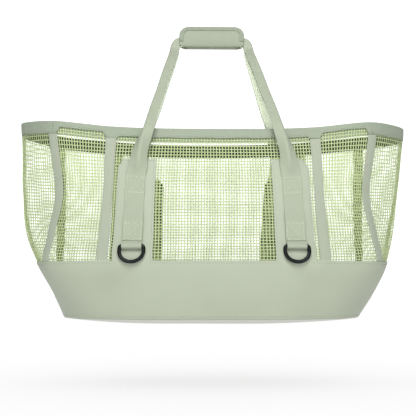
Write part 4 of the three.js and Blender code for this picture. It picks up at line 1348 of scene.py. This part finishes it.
rim_at = np.arange(0, ROUND + 1, 2.5)
rim_up = RIM_TOP - hem_height(rim_at) + HEM_SEAM_UP
rim_stitches = sew("rim_stitches", [wall_line(rim_at, rim_up, SKIN_OUT + HEM_PUFF + ON_FACE)])

strip_lines = []
for name, middle, crease in STRIP_ROWS:
    for edge in (-STRIP_SEAM_AT, STRIP_SEAM_AT):
        top = RIM_TOP - float(hem_height(np.array(middle + edge))) - 2
        up = np.arange(BASE_TOP + 3, top, SEAM_STEP)
        out = SKIN_OUT + strip_relief(edge, up, crease) + ON_FACE
        strip_lines.append(wall_line(np.full(len(up), middle + edge), up, out))
strip_stitches = sew("strip_stitches", strip_lines, pitch=3.4, length=2.4, radius=0.28)

grip_path = flap_point(outline_path(BINDING_SEAM_IN), BINDING_FACE + BINDING_TAPE / 2 + ON_FACE)
grip_lines = [(grip_path, np.tile([0, -1.0, 0.0], (len(grip_path), 1)))]
grip_stitches = sew("grip_stitches", front_and_back(grip_lines), pitch=3.2, length=2.3, radius=0.26)
for piece in (strap_bars, strap_crosses, rim_stitches, strip_stitches, grip_stitches):
    print(piece.name, tris(piece), "triangles")

# %% [markdown]
# Last, each piece hides the solid it stands for and is tied to the body that carries it. Everything
# rides on the bag but the four rings, which swing on their own. The areas of a few cloth pieces are
# printed at the end.

# %% Tie the pieces to the frame
def dress(piece, node_name, body="bag"):
    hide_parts(node_name)
    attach(piece, body)


dressed = [
    (base_front, "base_front", "coated_cloth"), (base_back, "base_back", "coated_cloth"),
    (bottom, "base_bottom", "bottom_cloth"),
]
dressed += [(nets[side], f"net_{side}", "net") for side in ("front", "back", "left", "right")]
dressed += [(rims[side], f"rim_{side}", "hem") for side in ("front", "back", "left", "right")]
dressed += [
    (strap_front, "strap_front", "strap_webbing"), (strap_back, "strap_back", "strap_webbing"),
    (grip, "grip_wrap", "grip_cloth"),
    (binding_front, "grip_binding_front", "grip_binding"),
    (binding_back, "grip_binding_back", "grip_binding"),
]
dressed += [(piece, name, "strip_webbing") for name, piece in strips.items()]
dressed += [(piece, name, "strap_webbing") for name, piece in tabs.items()]
for piece, name, slot in dressed:
    dress(piece, name)
for name, piece in rings.items():
    dress(piece, name, name + "_body")
sewn = (
    (base_stitches, "coated_cloth"), (strap_bars, "strap_webbing"), (strap_crosses, "strap_webbing"),
    (rim_stitches, "hem"), (strip_stitches, "strip_webbing"), (grip_stitches, "grip_binding"),
)
for piece, slot in sewn:
    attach(piece, "bag")


def shell_area(piece):
    """Half the skin of a thin closed sheet, which is the area of the cloth."""
    return sum(p.area for p in piece.data.polygons) / 2


print("areas:", [round(shell_area(p), 4) for p in (base_front, bottom, nets["front"], nets["left"])])
